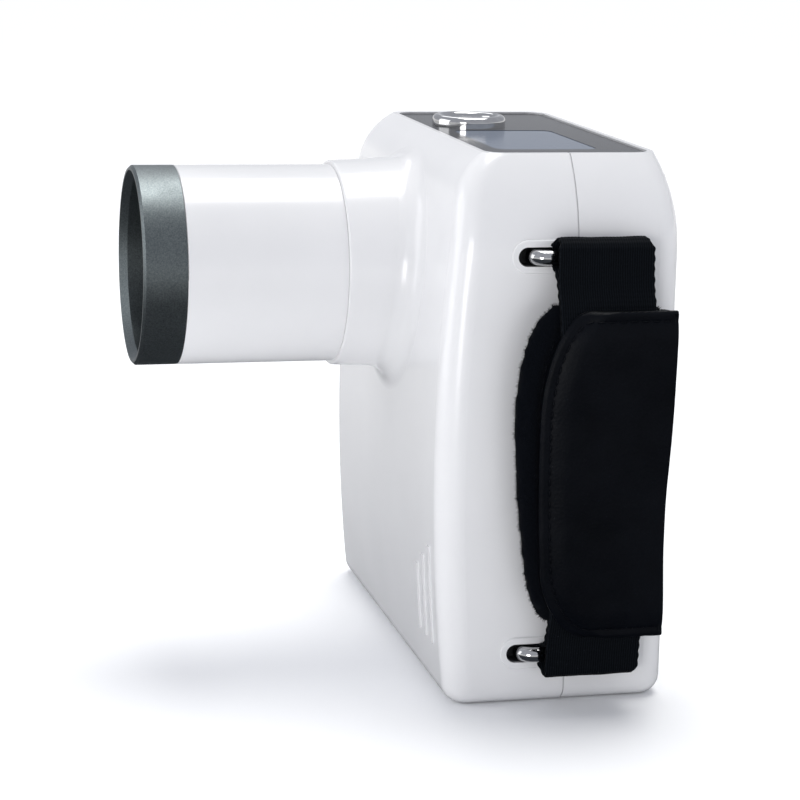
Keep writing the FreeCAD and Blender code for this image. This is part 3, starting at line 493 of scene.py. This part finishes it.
def thread(points, radii):
    """Points and faces of a tube along a short line, with a flat end at each side."""
    rings = []
    for i, point in enumerate(points):
        ahead = points[min(i + 1, len(points) - 1)] - points[max(i - 1, 0)]
        across = ahead.cross(Vector((1, 0, 0))).normalized()
        up = across.cross(ahead).normalized()
        for j in range(THREAD_SIDES):
            angle = 2 * math.pi * j / THREAD_SIDES
            rings.append(point + (across * math.cos(angle) + up * math.sin(angle)) * radii[i])
    faces = ring_faces(len(points), THREAD_SIDES, False)
    faces.append(tuple(range(THREAD_SIDES))[::-1])
    faces.append(tuple(range((len(points) - 1) * THREAD_SIDES, len(points) * THREAD_SIDES)))
    return rings, faces


def walk(line, length, gap):
    """The middle and direction of each stitch along a polyline."""
    stitches = []
    travelled, due = 0.0, length / 2
    for a, b in zip(line, line[1:]):
        run = (b - a).length
        while run > 0 and travelled + run >= due:
            stitches.append((a.lerp(b, (due - travelled) / run), (b - a).normalized()))
            due += length + gap
        travelled += run
    return stitches


def sew(name, line, body, slot_name="leather_black"):
    """A row of stitches along a line that lies on the leather or pile, in millimetres."""
    points, faces = [], []
    for middle, direction in walk(line, STITCH_LENGTH, STITCH_GAP):
        arc, radii = [], []
        for i in range(STITCH_RINGS):
            t = 2 * i / (STITCH_RINGS - 1) - 1
            height = STITCH_ARCH * (1 - t * t) - STITCH_SINK
            arc.append(middle + direction * (t * STITCH_LENGTH / 2) + Vector((height, 0, 0)))
            radii.append(THREAD_R * (1 - STITCH_TAPER * t ** 4))
        rings, tube_faces = thread(arc, radii)
        faces += [tuple(len(points) + i for i in face) for face in tube_faces]
        points += rings
    piece = new_piece(name, points, faces, slot_name)
    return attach(piece, body)


# ---- slot linings ----
def pill_ring(y_span, z, radius, x, steps=14):
    """Points round a pill outline that is long along Y."""
    points = []
    for middle, start in ((y_span[1] - radius, -0.5), (y_span[0] + radius, 0.5)):
        for i in range(steps + 1):
            angle = math.pi * (start + i / steps)
            points.append((x, middle + radius * math.cos(angle), z + radius * math.sin(angle)))
    return points


def slot_bar(node):
    """A strap bar's x, its z, and the y of its rear leg."""
    low, high = box_mm(node)
    return high.x - BAR_R, (low.z + high.z) / 2, high.y - BAR_R


def slot_shade_cup(node, name):
    """A thin black cup in the slot behind a strap bar: painted shade where the slot's inside falls dark."""
    low, high = box_mm(node)
    z = (low.z + high.z) / 2
    side = high.x - 2 * BAR_R
    deep, shallow = side - SHADE_CUP_DEEP, side - SHADE_CUP_SHALLOW
    y_span = (low.y - SHADE_CUP_PAST_FRONT, high.y + SHADE_CUP_PAST_REAR)
    y_inner = (y_span[0] + SHADE_CUP_WALL, y_span[1] - SHADE_CUP_WALL)
    inner_r = SHADE_CUP_R - SHADE_CUP_WALL
    rings = [pill_ring(y_span, z, SHADE_CUP_R, deep), pill_ring(y_span, z, SHADE_CUP_R, shallow)]
    rings += [pill_ring(y_inner, z, inner_r, shallow), pill_ring(y_inner, z, inner_r, deep + SHADE_CUP_FLOOR)]
    count = len(rings[0])
    faces = ring_faces(len(rings), count, False)
    faces.append(tuple(range(count))[::-1])
    faces.append(tuple(range(3 * count, 4 * count)))
    piece = new_piece(name, sum(rings, []), faces, "black_plastic", rounded=False)
    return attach(piece, "casing")


# ---- webbing ----
def loop_route(bar_x, bar_z, side):
    """The belt's middle line round a bar. side is 1 at the upper bar and -1 at the lower."""
    return [(bar_x + x, bar_z + side * z) for x, z in LOOP_ROUND_BAR]


def belt_route():
    """The closed line of the doubled webbing, as (x, z): up the outer layer, down the inner."""
    top_x, top_z = slot_bar("upper_strap_bar")[:2]
    base_x, base_z = slot_bar("lower_strap_bar")[:2]
    outer_x = box_mm("strap_webbing")[1].x - WEB_HALF_THICKNESS - WEB_RIB_HEIGHT / 2
    inner_x = outer_x - 2 * WEB_LAYER_OFFSET
    route = [(outer_x - inset, base_z + rise) for inset, rise in OUTER_OVER_BASE]
    route += [(outer_x - inset, z) for inset, z in OUTER_BETWEEN]
    route += [(outer_x - inset, top_z - drop) for inset, drop in OUTER_UNDER_TOP]
    route += loop_route(top_x, top_z, 1)
    route += [(inner_x - inset, top_z - drop) for inset, drop in INNER_UNDER_TOP]
    route += [(inner_x - inset, z) for inset, z in INNER_BETWEEN]
    route += [(inner_x - inset, base_z + rise) for inset, rise in INNER_OVER_BASE]
    route += loop_route(base_x, base_z, -1)[::-1]
    return [Vector((x, 0, z)) for x, z in route]


def catmull(a, b, c, d, t):
    """A place between b and c on the smooth curve through all four."""
    square, cube = 2 * a - 5 * b + 4 * c - d, 3 * b - a - 3 * c + d
    return 0.5 * (2 * b + (c - a) * t + square * t ** 2 + cube * t ** 3)


def dense_closed(route, per_span=60):
    """The closed smooth curve through the route's points, as a fine polyline."""
    points = []
    for i in range(len(route)):
        a, b, c, d = (route[(i + k) % len(route)] for k in (-1, 0, 1, 2))
        points += [catmull(a, b, c, d, j / per_span) for j in range(per_span)]
    return points


def belt_stations(line):
    """Points along the belt with the distance run, fine where it shows and coarse on the inner layer."""
    middle_x = max(p.x for p in line) - WEB_LAYER_OFFSET
    stations, run, last = [], 0.0, -math.inf
    for i, point in enumerate(line):
        after = line[(i + 1) % len(line)]
        covered = WEB_HIDDEN_Z[0] < point.z < WEB_HIDDEN_Z[1] and point.x < middle_x
        hidden = after.z < point.z and covered
        if run - last >= (WEB_COARSE_STEP if hidden else WEB_FINE_STEP):
            stations.append((point, run, hidden))
            last = run
        run += (after - point).length
    return stations


def rib_height(run, y):
    """Cross ribs, each one pinched where the lengthwise yarns pass over it."""
    crown = abs(math.sin(math.pi * run / WEB_RIB_PITCH))
    across = 0.5 - 0.5 * math.cos(2 * math.pi * y / WEB_COLUMN_PITCH)
    return WEB_RIB_HEIGHT * crown * (1 - WEB_RIB_PINCH + WEB_RIB_PINCH * across)


def belt_edges(point, run, bars):
    """The y of the belt's front and rear edge, drawn in at its ends and gathered clear of the rear legs."""
    low, high = box_mm("strap_webbing")
    at_top = smooth((point.z - high.z + WEB_END_HEIGHT) / WEB_END_HEIGHT)
    at_base = smooth((low.z + WEB_END_HEIGHT - point.z) / WEB_END_HEIGHT)
    ends = max(at_top, at_base)
    wave = WEB_EDGE_WAVE * math.sin(math.pi * run / WEB_RIB_PITCH)
    rear_drift = WEB_EDGE_DRIFT * noise.noise(Vector((run / 5, 3, 0)))
    front_drift = WEB_EDGE_DRIFT * noise.noise(Vector((run / 5, 9, 0)))
    rear = high.y + WEB_REAR_EASE - WEB_REAR_DRAWN_IN * ends + wave + rear_drift
    front = low.y + WEB_FRONT_INSET + WEB_FRONT_DRAWN_IN * ends - wave + front_drift
    for bar_x, bar_z, leg_y in bars:
        if abs(point.z - bar_z) < WEB_TUCK_REACH:
            tucked = smooth((bar_x + WEB_TUCK_START - point.x) / WEB_TUCK_RUN)
            rear -= tucked * max(0.0, rear - leg_y + WEB_LEG_ROOM)
    return front, rear


def belt_ring(point, out, run, hidden, front, rear):
    """One section through the belt: its ribbed outer side to the rear, then its plain inner side back."""
    ring = []
    for j in range(WEB_OUTER_COLUMNS):
        t = j / (WEB_OUTER_COLUMNS - 1)
        y = front + (rear - front) * t
        edge = min(t, 1 - t) * (rear - front)
        round_off = 1 - corner(1 - edge / WEB_EDGE_ROUND)
        rib = 0.0 if hidden else rib_height(run, y)
        sway = WEB_SWAY * noise.noise(Vector((run / 9, y / 7, 4)))
        lift = WEB_HALF_THICKNESS * round_off + rib * round_off + sway
        ring.append(point + out * lift + Vector((0, y, 0)))
    for j in range(WEB_INNER_COLUMNS):
        t = 1 - (j + 0.5) / WEB_INNER_COLUMNS
        y = front + (rear - front) * t
        ring.append(point - out * WEB_HALF_THICKNESS + Vector((0, y, 0)))
    return ring


def webbing():
    """The ribbed belt in one closed loop round both strap bars."""
    stations = belt_stations(dense_closed(belt_route()))
    bars = [slot_bar("upper_strap_bar"), slot_bar("lower_strap_bar")]
    points = []
    for i, (point, run, hidden) in enumerate(stations):
        after, before = stations[(i + 1) % len(stations)][0], stations[i - 1][0]
        along = (after - before).normalized()
        out = Vector((along.z, 0, -along.x))
        front, rear = belt_edges(point, run, bars)
        points += belt_ring(point, out, run, hidden, front, rear)
    faces = ring_faces(len(stations), WEB_OUTER_COLUMNS + WEB_INNER_COLUMNS, True)
    piece = new_piece("webbing_weave", points, faces, "webbing_black")
    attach(piece, "casing")
    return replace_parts(piece, "strap_webbing")


# ---- pad and cover outlines: the front edge as y for each z, in millimetres ----
def front_edge(outline, z):
    """The y of the front edge, which leans back below and turns in at both ends."""
    low, high = box_mm(outline.node)
    top_depth, top_height = outline.top_corner
    base_depth, base_height = outline.base_corner
    lean = outline.lean * max(0.0, high.z - outline.lean_from - z) ** 2
    at_top = top_depth * corner((z - high.z + top_height) / top_height)
    at_base = base_depth * corner((low.z + base_height - z) / base_height)
    return low.y + lean + at_top + at_base


def pad_front(z):
    """The y of the pad's front edge."""
    return front_edge(PAD_OUTLINE, z)


def cover_front(z):
    """The y of the cover's front edge."""
    return front_edge(COVER_OUTLINE, z)


def rear_bow(z):
    """How far the strap's rear edge is pulled in from straight, most a third of the way up."""
    return REAR_BOW_LEAST + REAR_BOW_MORE * bell(z - REAR_BOW_Z, REAR_BOW_SPREAD)


def pad_rear(z):
    """The y of the pad's rear edge, which turns in at both ends."""
    low, high = box_mm("strap_pad")
    depth, height = PAD_REAR_CORNER
    rounding = depth * (corner((z - high.z + height) / height) + corner((low.z + height - z) / height))
    return high.y - PAD_REAR_INSET - rear_bow(z) - rounding


def cover_rear(z):
    """The y of the cover's rear edge, where the fold takes over."""
    return box_mm("strap_cover")[1].y - rear_bow(z)


def graded(start, end, near, step):
    """Values from start to end, with the distances in near at both ends and even steps between."""
    inner = [start + d for d in near]
    outer = [end - d for d in near][::-1]
    count = max(2, round((outer[0] - inner[-1]) / step))
    middle = [inner[-1] + (outer[0] - inner[-1]) * i / count for i in range(1, count)]
    return inner + middle + outer


def edge_line(front, rear, z_low, z_high, steps=160):
    """The outline's open run: from the rear along the base, up the front edge, back along the top."""
    line = [Vector((0, rear(z_low), z_low))]
    for i in range(steps + 1):
        z = z_low + (z_high - z_low) * (1 - math.cos(math.pi * i / steps)) / 2
        line.append(Vector((0, front(z), z)))
    line.append(Vector((0, rear(z_high), z_high)))
    return line


def resampled(line, step):
    """The polyline with its runs divided into pieces of about step."""
    points = [line[0]]
    for a, b in zip(line, line[1:]):
        count = max(1, round((b - a).length / step))
        points += [a.lerp(b, i / count) for i in range(1, count + 1)]
    return points


def inset_line(line, distance):
    """The line moved to the inner side of the outline, in the YZ plane."""
    moved = []
    for i, point in enumerate(line):
        ahead = (line[min(i + 1, len(line) - 1)] - line[max(i - 1, 0)]).normalized()
        moved.append(point + Vector((0, ahead.z, -ahead.y)) * distance)
    return moved


def distance_to(points):
    """A function giving how far a place (y, z) is from the nearest of the points."""
    tree = KDTree(len(points))
    for i, point in enumerate(points):
        tree.insert((0, point.y, point.z), i)
    tree.balance()

    def distance(y, z):
        return tree.find((0, y, z))[2]

    return distance


def slab(name, rows, front, rear, near, step, outer_x, inner_x, slot_name):
    """A closed slab in the YZ plane, with its two faces at outer_x and inner_x of each (y, z).

    near holds the first distances in from the front edge. The rest of each row is about step apart.
    """
    grid = []
    middle_z = (rows[0] + rows[-1]) / 2
    count = round((rear(middle_z) - front(middle_z)) / step)
    columns = len(near) + count
    for z in rows:
        start = front(z)
        reach = rear(z) - start
        grid += [(start + d, z) for d in near]
        grid += [(start + near[-1] + (reach - near[-1]) * (i / count), z) for i in range(1, count + 1)]
    total = len(grid)
    points = [Vector((outer_x(y, z), y, z)) for y, z in grid]
    points += [Vector((inner_x(y, z), y, z)) for y, z in grid]
    faces = []
    for i in range(len(rows) - 1):
        for j in range(columns - 1):
            a = i * columns + j
            faces.append((a, a + 1, a + columns + 1, a + columns))
            faces.append((total + a + columns, total + a + columns + 1, total + a + 1, total + a))
    rim = list(range(columns))
    rim += [columns * i + columns - 1 for i in range(1, len(rows))]
    rim += [columns * (len(rows) - 1) + j for j in range(columns - 2, -1, -1)]
    rim += [columns * i for i in range(len(rows) - 2, 0, -1)]
    for a, b in zip(rim, rim[1:] + rim[:1]):
        faces.append((b, a, total + a, total + b))
    return new_piece(name, points, faces, slot_name)


# ---- pad ----
def apply_modifiers(piece):
    """The piece's modifiers made part of its mesh."""
    seen = piece.evaluated_get(bpy.context.evaluated_depsgraph_get())
    mesh = bpy.data.meshes.new_from_object(seen)
    piece.modifiers.clear()
    piece.data = mesh


def coordinates(mesh):
    """The mesh's points as rows of x, y, z."""
    flat = np.zeros(len(mesh.vertices) * 3)
    mesh.vertices.foreach_get("co", flat)
    return flat.reshape(-1, 3)


def swell(piece):
    """Cloth under pressure, with each point kept near where it started."""
    start = coordinates(piece.data)
    cloth = piece.modifiers.new("swell", "CLOTH")
    cloth.settings.use_pressure = True
    cloth.settings.uniform_pressure_force = PAD_PRESSURE
    cloth.settings.effector_weights.gravity = 0
    cloth.settings.mass = CLOTH_MASS
    cloth.settings.tension_stiffness = CLOTH_STIFFNESS
    cloth.settings.compression_stiffness = CLOTH_STIFFNESS
    cloth.settings.bending_stiffness = CLOTH_BENDING
    cloth.collision_settings.use_collision = False
    cloth.point_cache.frame_start = 1
    cloth.point_cache.frame_end = CLOTH_FRAMES
    for step in range(1, CLOTH_FRAMES + 1):
        bpy.context.scene.frame_set(step)
    seen = piece.evaluated_get(bpy.context.evaluated_depsgraph_get())
    moved = coordinates(seen.data) - start
    length = np.linalg.norm(moved, axis=1, keepdims=True)
    cap = PAD_CAP * MM
    moved *= np.minimum(1.0, cap / np.maximum(length, 1e-12))
    piece.modifiers.clear()
    bpy.context.scene.frame_set(1)
    piece.data.vertices.foreach_set("co", (start + moved).ravel())
    piece.data.update()


def remesh(piece, voxel_mm):
    """Rebuilds the surface in even quads of that size."""
    modifier = piece.modifiers.new("even", "REMESH")
    modifier.mode = "VOXEL"
    modifier.voxel_size = voxel_mm * MM
    modifier.use_smooth_shade = True
    apply_modifiers(piece)


def relax(piece):
    """Takes the voxel steps out of a remeshed surface."""
    modifier = piece.modifiers.new("relax", "SMOOTH")
    modifier.factor = 0.5
    modifier.iterations = PAD_RELAX_STEPS
    apply_modifiers(piece)


def subdivide(piece, levels):
    """Subdivision made part of the mesh."""
    modifier = piece.modifiers.new("soft", "SUBSURF")
    modifier.levels = levels
    modifier.render_levels = levels
    apply_modifiers(piece)


def raise_pile(piece, seam):
    """Sinks a sewn channel along the seam, and roughens the surface as brushed pile."""
    distance = distance_to(seam)
    mesh = piece.data
    shifted = []
    for vertex in mesh.vertices:
        place = vertex.co / MM
        sunk = SEAM_DEPTH * bell(distance(place.y, place.z), SEAM_HALF_WIDTH)
        channel = sunk if vertex.normal.x > PILE_FACING_OUT else 0.0
        pile = PILE_COARSE * noise.noise(place * 0.45) + PILE_FINE * noise.noise(place * 1.1)
        shifted.append(vertex.co + vertex.normal * (pile - channel) * MM)
    mesh.vertices.foreach_set("co", [c for point in shifted for c in point])
    mesh.update()


def pad_slab(edge):
    """The pad before it swells: thinner at its ends, with a rounded rim."""
    low, high = box_mm("strap_pad")
    rows = graded(low.z + PAD_INSET, high.z - PAD_INSET, PAD_NEAR, PAD_STEP)
    distance = distance_to(resampled(edge, EDGE_POINT_STEP))

    def front(z):
        return pad_front(z) - PAD_FRONT_EASE

    def outer(y, z):
        round_off = PAD_OUTER_ROUND * corner(1 - distance(y, z) / PAD_RIM)
        at_top = smooth((z - high.z + PAD_TOP_DROP_HEIGHT) / PAD_TOP_DROP_HEIGHT)
        at_base = smooth((low.z + PAD_BASE_DROP_HEIGHT - z) / PAD_BASE_DROP_HEIGHT)
        return high.x - PAD_FACE_INSET - round_off - PAD_END_DROP * (at_top + at_base)

    def inner(y, z):
        rounded = low.x + PAD_FACE_INSET + PAD_INNER_ROUND * corner(1 - distance(y, z) / PAD_RIM)
        return min(rounded, outer(y, z) - PAD_THINNEST)

    return slab("pad_velour", rows, front, pad_rear, PAD_NEAR, PAD_STEP, outer, inner, "pad_black")


def pad():
    """The velour pad, with a sewn channel and a row of stitches inside its front edge."""
    low, high = box_mm("strap_pad")
    edge = edge_line(pad_front, pad_rear, low.z, high.z)
    piece = pad_slab(edge)
    remesh(piece, PAD_VOXEL)
    relax(piece)
    swell(piece)
    subdivide(piece, 1)
    seam = inset_line(resampled(edge, SEAM_POINT_STEP), SEAM_INSET)
    raise_pile(piece, seam)
    shade(piece.data, True)
    pile_fuzz(piece)
    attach(piece, "casing")
    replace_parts(piece, "strap_pad")
    lie_on = surface_under(piece)
    sewn_low, sewn_high = low.z + SEAM_SEWN_ENDS[0], high.z - SEAM_SEWN_ENDS[1]
    sewn = [lie_on(point) for point in seam if sewn_low < point.z < sewn_high and point.y < SEAM_SEWN_Y]
    sew("pad_stitching", sewn, "casing", "pad_black")
    return piece


def pile_fuzz(pad_piece):
    """Short loose fibres standing out of the pad's rim, each rooted under the surface."""
    chance = random.Random(7)
    rim = [v for v in pad_piece.data.vertices if abs(v.normal.x) < RIM_FACING_ASIDE]
    points, faces = [], []
    for vertex in chance.sample(rim, min(FIBRES, len(rim))):
        lean = Vector([chance.uniform(-FIBRE_LEAN, FIBRE_LEAN) for _ in range(3)])
        along = (vertex.normal + lean).normalized()
        side = along.orthogonal().normalized()
        root = vertex.co / MM - along * FIBRE_ROOT
        first = len(points)
        for i in range(3):
            turn = Quaternion(along, 2 * math.pi * i / 3)
            points.append(root + (turn @ side) * FIBRE_R)
        points.append(root + along * chance.uniform(*FIBRE_LENGTH))
        faces.append((first, first + 2, first + 1))
        faces += [(first + i, first + (i + 1) % 3, first + 3) for i in range(3)]
    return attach(new_piece("pad_fibres", points, faces, "pad_black"), "casing")


def surface_under(piece):
    """A function that drops a place in the YZ plane onto the piece's outer side."""
    bpy.context.view_layer.update()

    def drop(point):
        origin = Vector((0.2, point.y * MM, point.z * MM))
        found, place, _, _ = piece.ray_cast(origin, Vector((-1, 0, 0)))
        return place / MM if found else point

    return drop


# ---- cover ----
def cover_shape():
    """The leather flap's edge and its two faces: it bows over the webbing and droops at its free edges."""
    low, high = box_mm("strap_cover")
    edge = edge_line(cover_front, cover_rear, low.z, high.z)
    distance = distance_to(resampled(edge, EDGE_POINT_STEP))

    def plain_face(y, z):
        droop = COVER_DROOP * (1 - smooth((y - cover_front(z)) / COVER_DROOP_WIDTH))
        at_top = smooth((z - high.z + COVER_END_HEIGHT) / COVER_END_HEIGHT)
        at_base = smooth((low.z + COVER_END_HEIGHT - z) / COVER_END_HEIGHT)
        return high.x - COVER_FACE_INSET - droop - COVER_END_DROP * (at_top + at_base)

    def outer(y, z):
        from_edge = distance(y, z)
        rim = COVER_RIM_DROP * corner(1 - from_edge / COVER_RIM_WIDTH)
        groove = COVER_GROOVE * bell(from_edge - STITCH_INSET, COVER_GROOVE_WIDTH)
        bead = COVER_BEAD * bell(from_edge - COVER_BEAD_AT, COVER_BEAD_WIDTH)
        ripple = COVER_RIPPLE * noise.noise(Vector((2.0, y / 15, z / 21)))
        ripple += COVER_CREASE * noise.noise(Vector((5.0, y / 5, z / 7)))
        return plain_face(y, z) - rim - groove + bead + ripple

    def inner(y, z):
        return plain_face(y, z) - COVER_THICKNESS

    return edge, outer, inner


def cover():
    """The leather flap, with a row of stitches in its groove."""
    low, high = box_mm("strap_cover")
    edge, outer, inner = cover_shape()
    rows = graded(low.z, high.z, COVER_NEAR, COVER_STEP)
    piece = slab(
        "cover_leather", rows, cover_front, cover_rear, COVER_NEAR, COVER_STEP, outer, inner, "leather_black"
    )
    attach(piece, "strap_cover")
    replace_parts(piece, "strap_cover")
    seam = [p for p in inset_line(resampled(edge, 0.5), STITCH_INSET) if p.y < cover_rear(p.z) - 2]
    raised = [Vector((outer(p.y, p.z) + STITCH_LIFT, p.y, p.z)) for p in seam]
    sew("cover_stitching", raised, "strap_cover")
    return piece


def spine_row(z):
    """One section of the fold, from the pad's back to the flap and back again on its inner side."""
    pad_low, pad_high = box_mm("strap_pad")
    high = box_mm("strap_cover")[1]
    start = Vector((pad_low.x + SPINE_PAD_LAP[0], pad_high.y - SPINE_PAD_LAP[1], z))
    end = Vector((high.x - SPINE_COVER_LAP[0], high.y - SPINE_COVER_LAP[1], z))
    bulge = SPINE_BULGE + SPINE_CREASE * noise.noise(Vector((1.0, 7.0, z / 6)))
    across = [j / (SPINE_COLUMNS - 1) for j in range(SPINE_COLUMNS)]
    row = []
    for inset, steps in ((0.0, across), (SPINE_THICKNESS, [1 - t for t in across])):
        for t in steps:
            back = bulge * math.sin(math.pi * t) - inset - rear_bow(z)
            row.append(start.lerp(end, t) + Vector((0, back, 0)))
    return row


def spine():
    """The leather fold: from the back of the pad, round behind the webbing, to the flap's rear edge."""
    low, high = box_mm("strap_cover")
    base, top = low.z + SPINE_END_INSET, high.z - SPINE_END_INSET
    points = []
    for i in range(SPINE_ROWS + 1):
        points += spine_row(base + (top - base) * i / SPINE_ROWS)
    columns = 2 * SPINE_COLUMNS
    faces = ring_faces(SPINE_ROWS + 1, columns, False)
    faces.append(tuple(range(columns)))
    faces.append(tuple(range(SPINE_ROWS * columns, (SPINE_ROWS + 1) * columns))[::-1])
    piece = new_piece("spine_leather", points, faces, "leather_black")
    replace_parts(piece, "strap_spine")
    hinge = Vector(frame_joint("cover_open")["pos_m"])
    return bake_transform(piece)


def frame_joint(name):
    """The frame's entry for a joint."""
    return next(joint for joint in frame["joints"] if joint["name"] == name)


# ---- button spring ----
def button_spring():
    """The flat-wire spring under the exposure button."""
    low, high = box_mm("exposure_spring")
    middle = (low + high) / 2
    wire_width, wire_height = SPRING_WIRE
    radius = (high.x - low.x) / 2 - wire_width / 2
    base, top = low.z + wire_height / 2, high.z - wire_height / 2
    half_width, half_height = wire_width / 2 - SPRING_EASE, wire_height / 2
    count = SPRING_TURNS * SPRING_STEPS + 1
    points = []
    for i in range(count):
        t = i / (count - 1)
        angle = 2 * math.pi * SPRING_TURNS * t
        out = Vector((math.cos(angle), math.sin(angle), 0))
        centre = Vector((middle.x, middle.y, base + (top - base) * t))
        for width, height in ((1, -1), (1, 1), (-1, 1), (-1, -1)):
            reach = radius + half_width * width
            points.append(centre + out * reach + Vector((0, 0, half_height * height)))
    faces = ring_faces(count, 4, False)
    faces += [(3, 2, 1, 0), tuple(range(4 * count - 4, 4 * count))]
    piece = new_piece("button_spring", points, faces, "steel", rounded=False)
    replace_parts(piece, "exposure_spring")
    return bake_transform(piece)


# ---- stage ----
def floor():
    """A plain white floor, which metal and gloss don't reflect."""
    mesh = bpy.data.meshes.new("floor")
    half = FLOOR_HALF
    corners = [(-half, -half, 0), (half, -half, 0), (half, half, 0), (-half, half, 0)]
    mesh.from_pydata(corners, [], [(0, 1, 2, 3)])
    plane = bpy.data.objects.new("floor", mesh)
    bpy.context.scene.collection.objects.link(plane)
    mesh.materials.append(new_finish("floor_white", (0.95, 0.955, 0.965), 0.9, Specular_IOR_Level=0.1))
    plane.visible_glossy = False


def area_light(name, at, aim, size, power, colour=(1, 1, 1)):
    """A rectangular light, in metres and watts, that faces its aim."""
    light = bpy.data.lights.new(name, "AREA")
    light.shape = "RECTANGLE"
    light.size, light.size_y = size
    light.energy = power
    light.color = colour
    lamp = bpy.data.objects.new(name, light)
    bpy.context.scene.collection.objects.link(lamp)
    lamp.location = at
    lamp.rotation_mode = "QUATERNION"
    lamp.rotation_quaternion = (Vector(aim) - Vector(at)).to_track_quat("-Z", "Y")
    return lamp


def lights():
    """A key and a fill light, a strip above the cone, and a wide soft sun."""
    area_light("key", (1.26, -0.82, 0.17), LIGHTS_AIM, (0.45, 0.6), 6.0, (1.0, 0.99, 0.98))
    area_light("fill", (-0.35, -1.6, 0.45), LIGHTS_AIM, (1.3, 1.3), 9.5)
    area_light("strip", (-0.46, -0.05, 1.2), STRIP_AIM, (0.16, 1.6), 2.4)
    sun = bpy.data.lights.new("overhead", "SUN")
    sun.energy = 1.9
    sun.angle = math.radians(36)
    sun.color = (1.0, 0.99, 0.96)
    lamp = bpy.data.objects.new("overhead", sun)
    bpy.context.scene.collection.objects.link(lamp)
    lamp.rotation_euler = (math.radians(-10), math.radians(-14), 0)


def sky():
    """Soft studio surroundings: dim below, white in a thin band where the floor ends, even above."""
    world = bpy.data.worlds.new("studio")
    bpy.context.scene.world = world
    world.use_nodes = True
    nodes, links = world.node_tree.nodes, world.node_tree.links
    place = nodes.new("ShaderNodeTexCoord")
    axes = nodes.new("ShaderNodeSeparateXYZ")
    span = nodes.new("ShaderNodeMapRange")
    span.inputs["From Min"].default_value = -1.0
    ramp = nodes.new("ShaderNodeValToRGB")
    stops = ramp.color_ramp.elements
    stops[0].position = SKY_DIM_UP_TO
    stops[0].color = SKY_BELOW
    stops[1].position = SKY_EVEN_FROM
    stops[1].color = SKY_ABOVE
    for place_on_ramp in SKY_WHITE_BAND:
        stops.new(place_on_ramp).color = (1.0, 1.0, 1.0, 1)
    links.new(place.outputs["Generated"], axes.inputs[0])
    links.new(axes.outputs["Z"], span.inputs["Value"])
    links.new(span.outputs["Result"], ramp.inputs["Fac"])
    links.new(ramp.outputs["Color"], nodes["Background"].inputs["Color"])
    nodes["Background"].inputs["Strength"].default_value = 1.0


def camera():
    """The camera, a little rolled, at the place and aim given at the top."""
    data = bpy.data.cameras.new("camera")
    data.lens = CAMERA_LENS
    data.sensor_width = SENSOR_WIDTH
    eye = bpy.data.objects.new("camera", data)
    bpy.context.scene.collection.objects.link(eye)
    eye.location = CAMERA_AT
    eye.rotation_mode = "QUATERNION"
    level = (CAMERA_AIM - CAMERA_AT).to_track_quat("-Z", "Y")
    eye.rotation_quaternion = level @ Quaternion((0, 0, 1), CAMERA_ROLL)
    bpy.context.scene.camera = eye


camera()
floor()
lights()
sky()
bpy.context.scene.view_settings.view_transform = "Standard"
finish_cad_nodes()
# Black cups in both strap slots, painted shade inside them.
slot_shade_cup("upper_strap_bar", "upper_slot_shade_cup")
slot_shade_cup("lower_strap_bar", "lower_slot_shade_cup")
webbing()
pad()
cover()
spine()
button_spring()
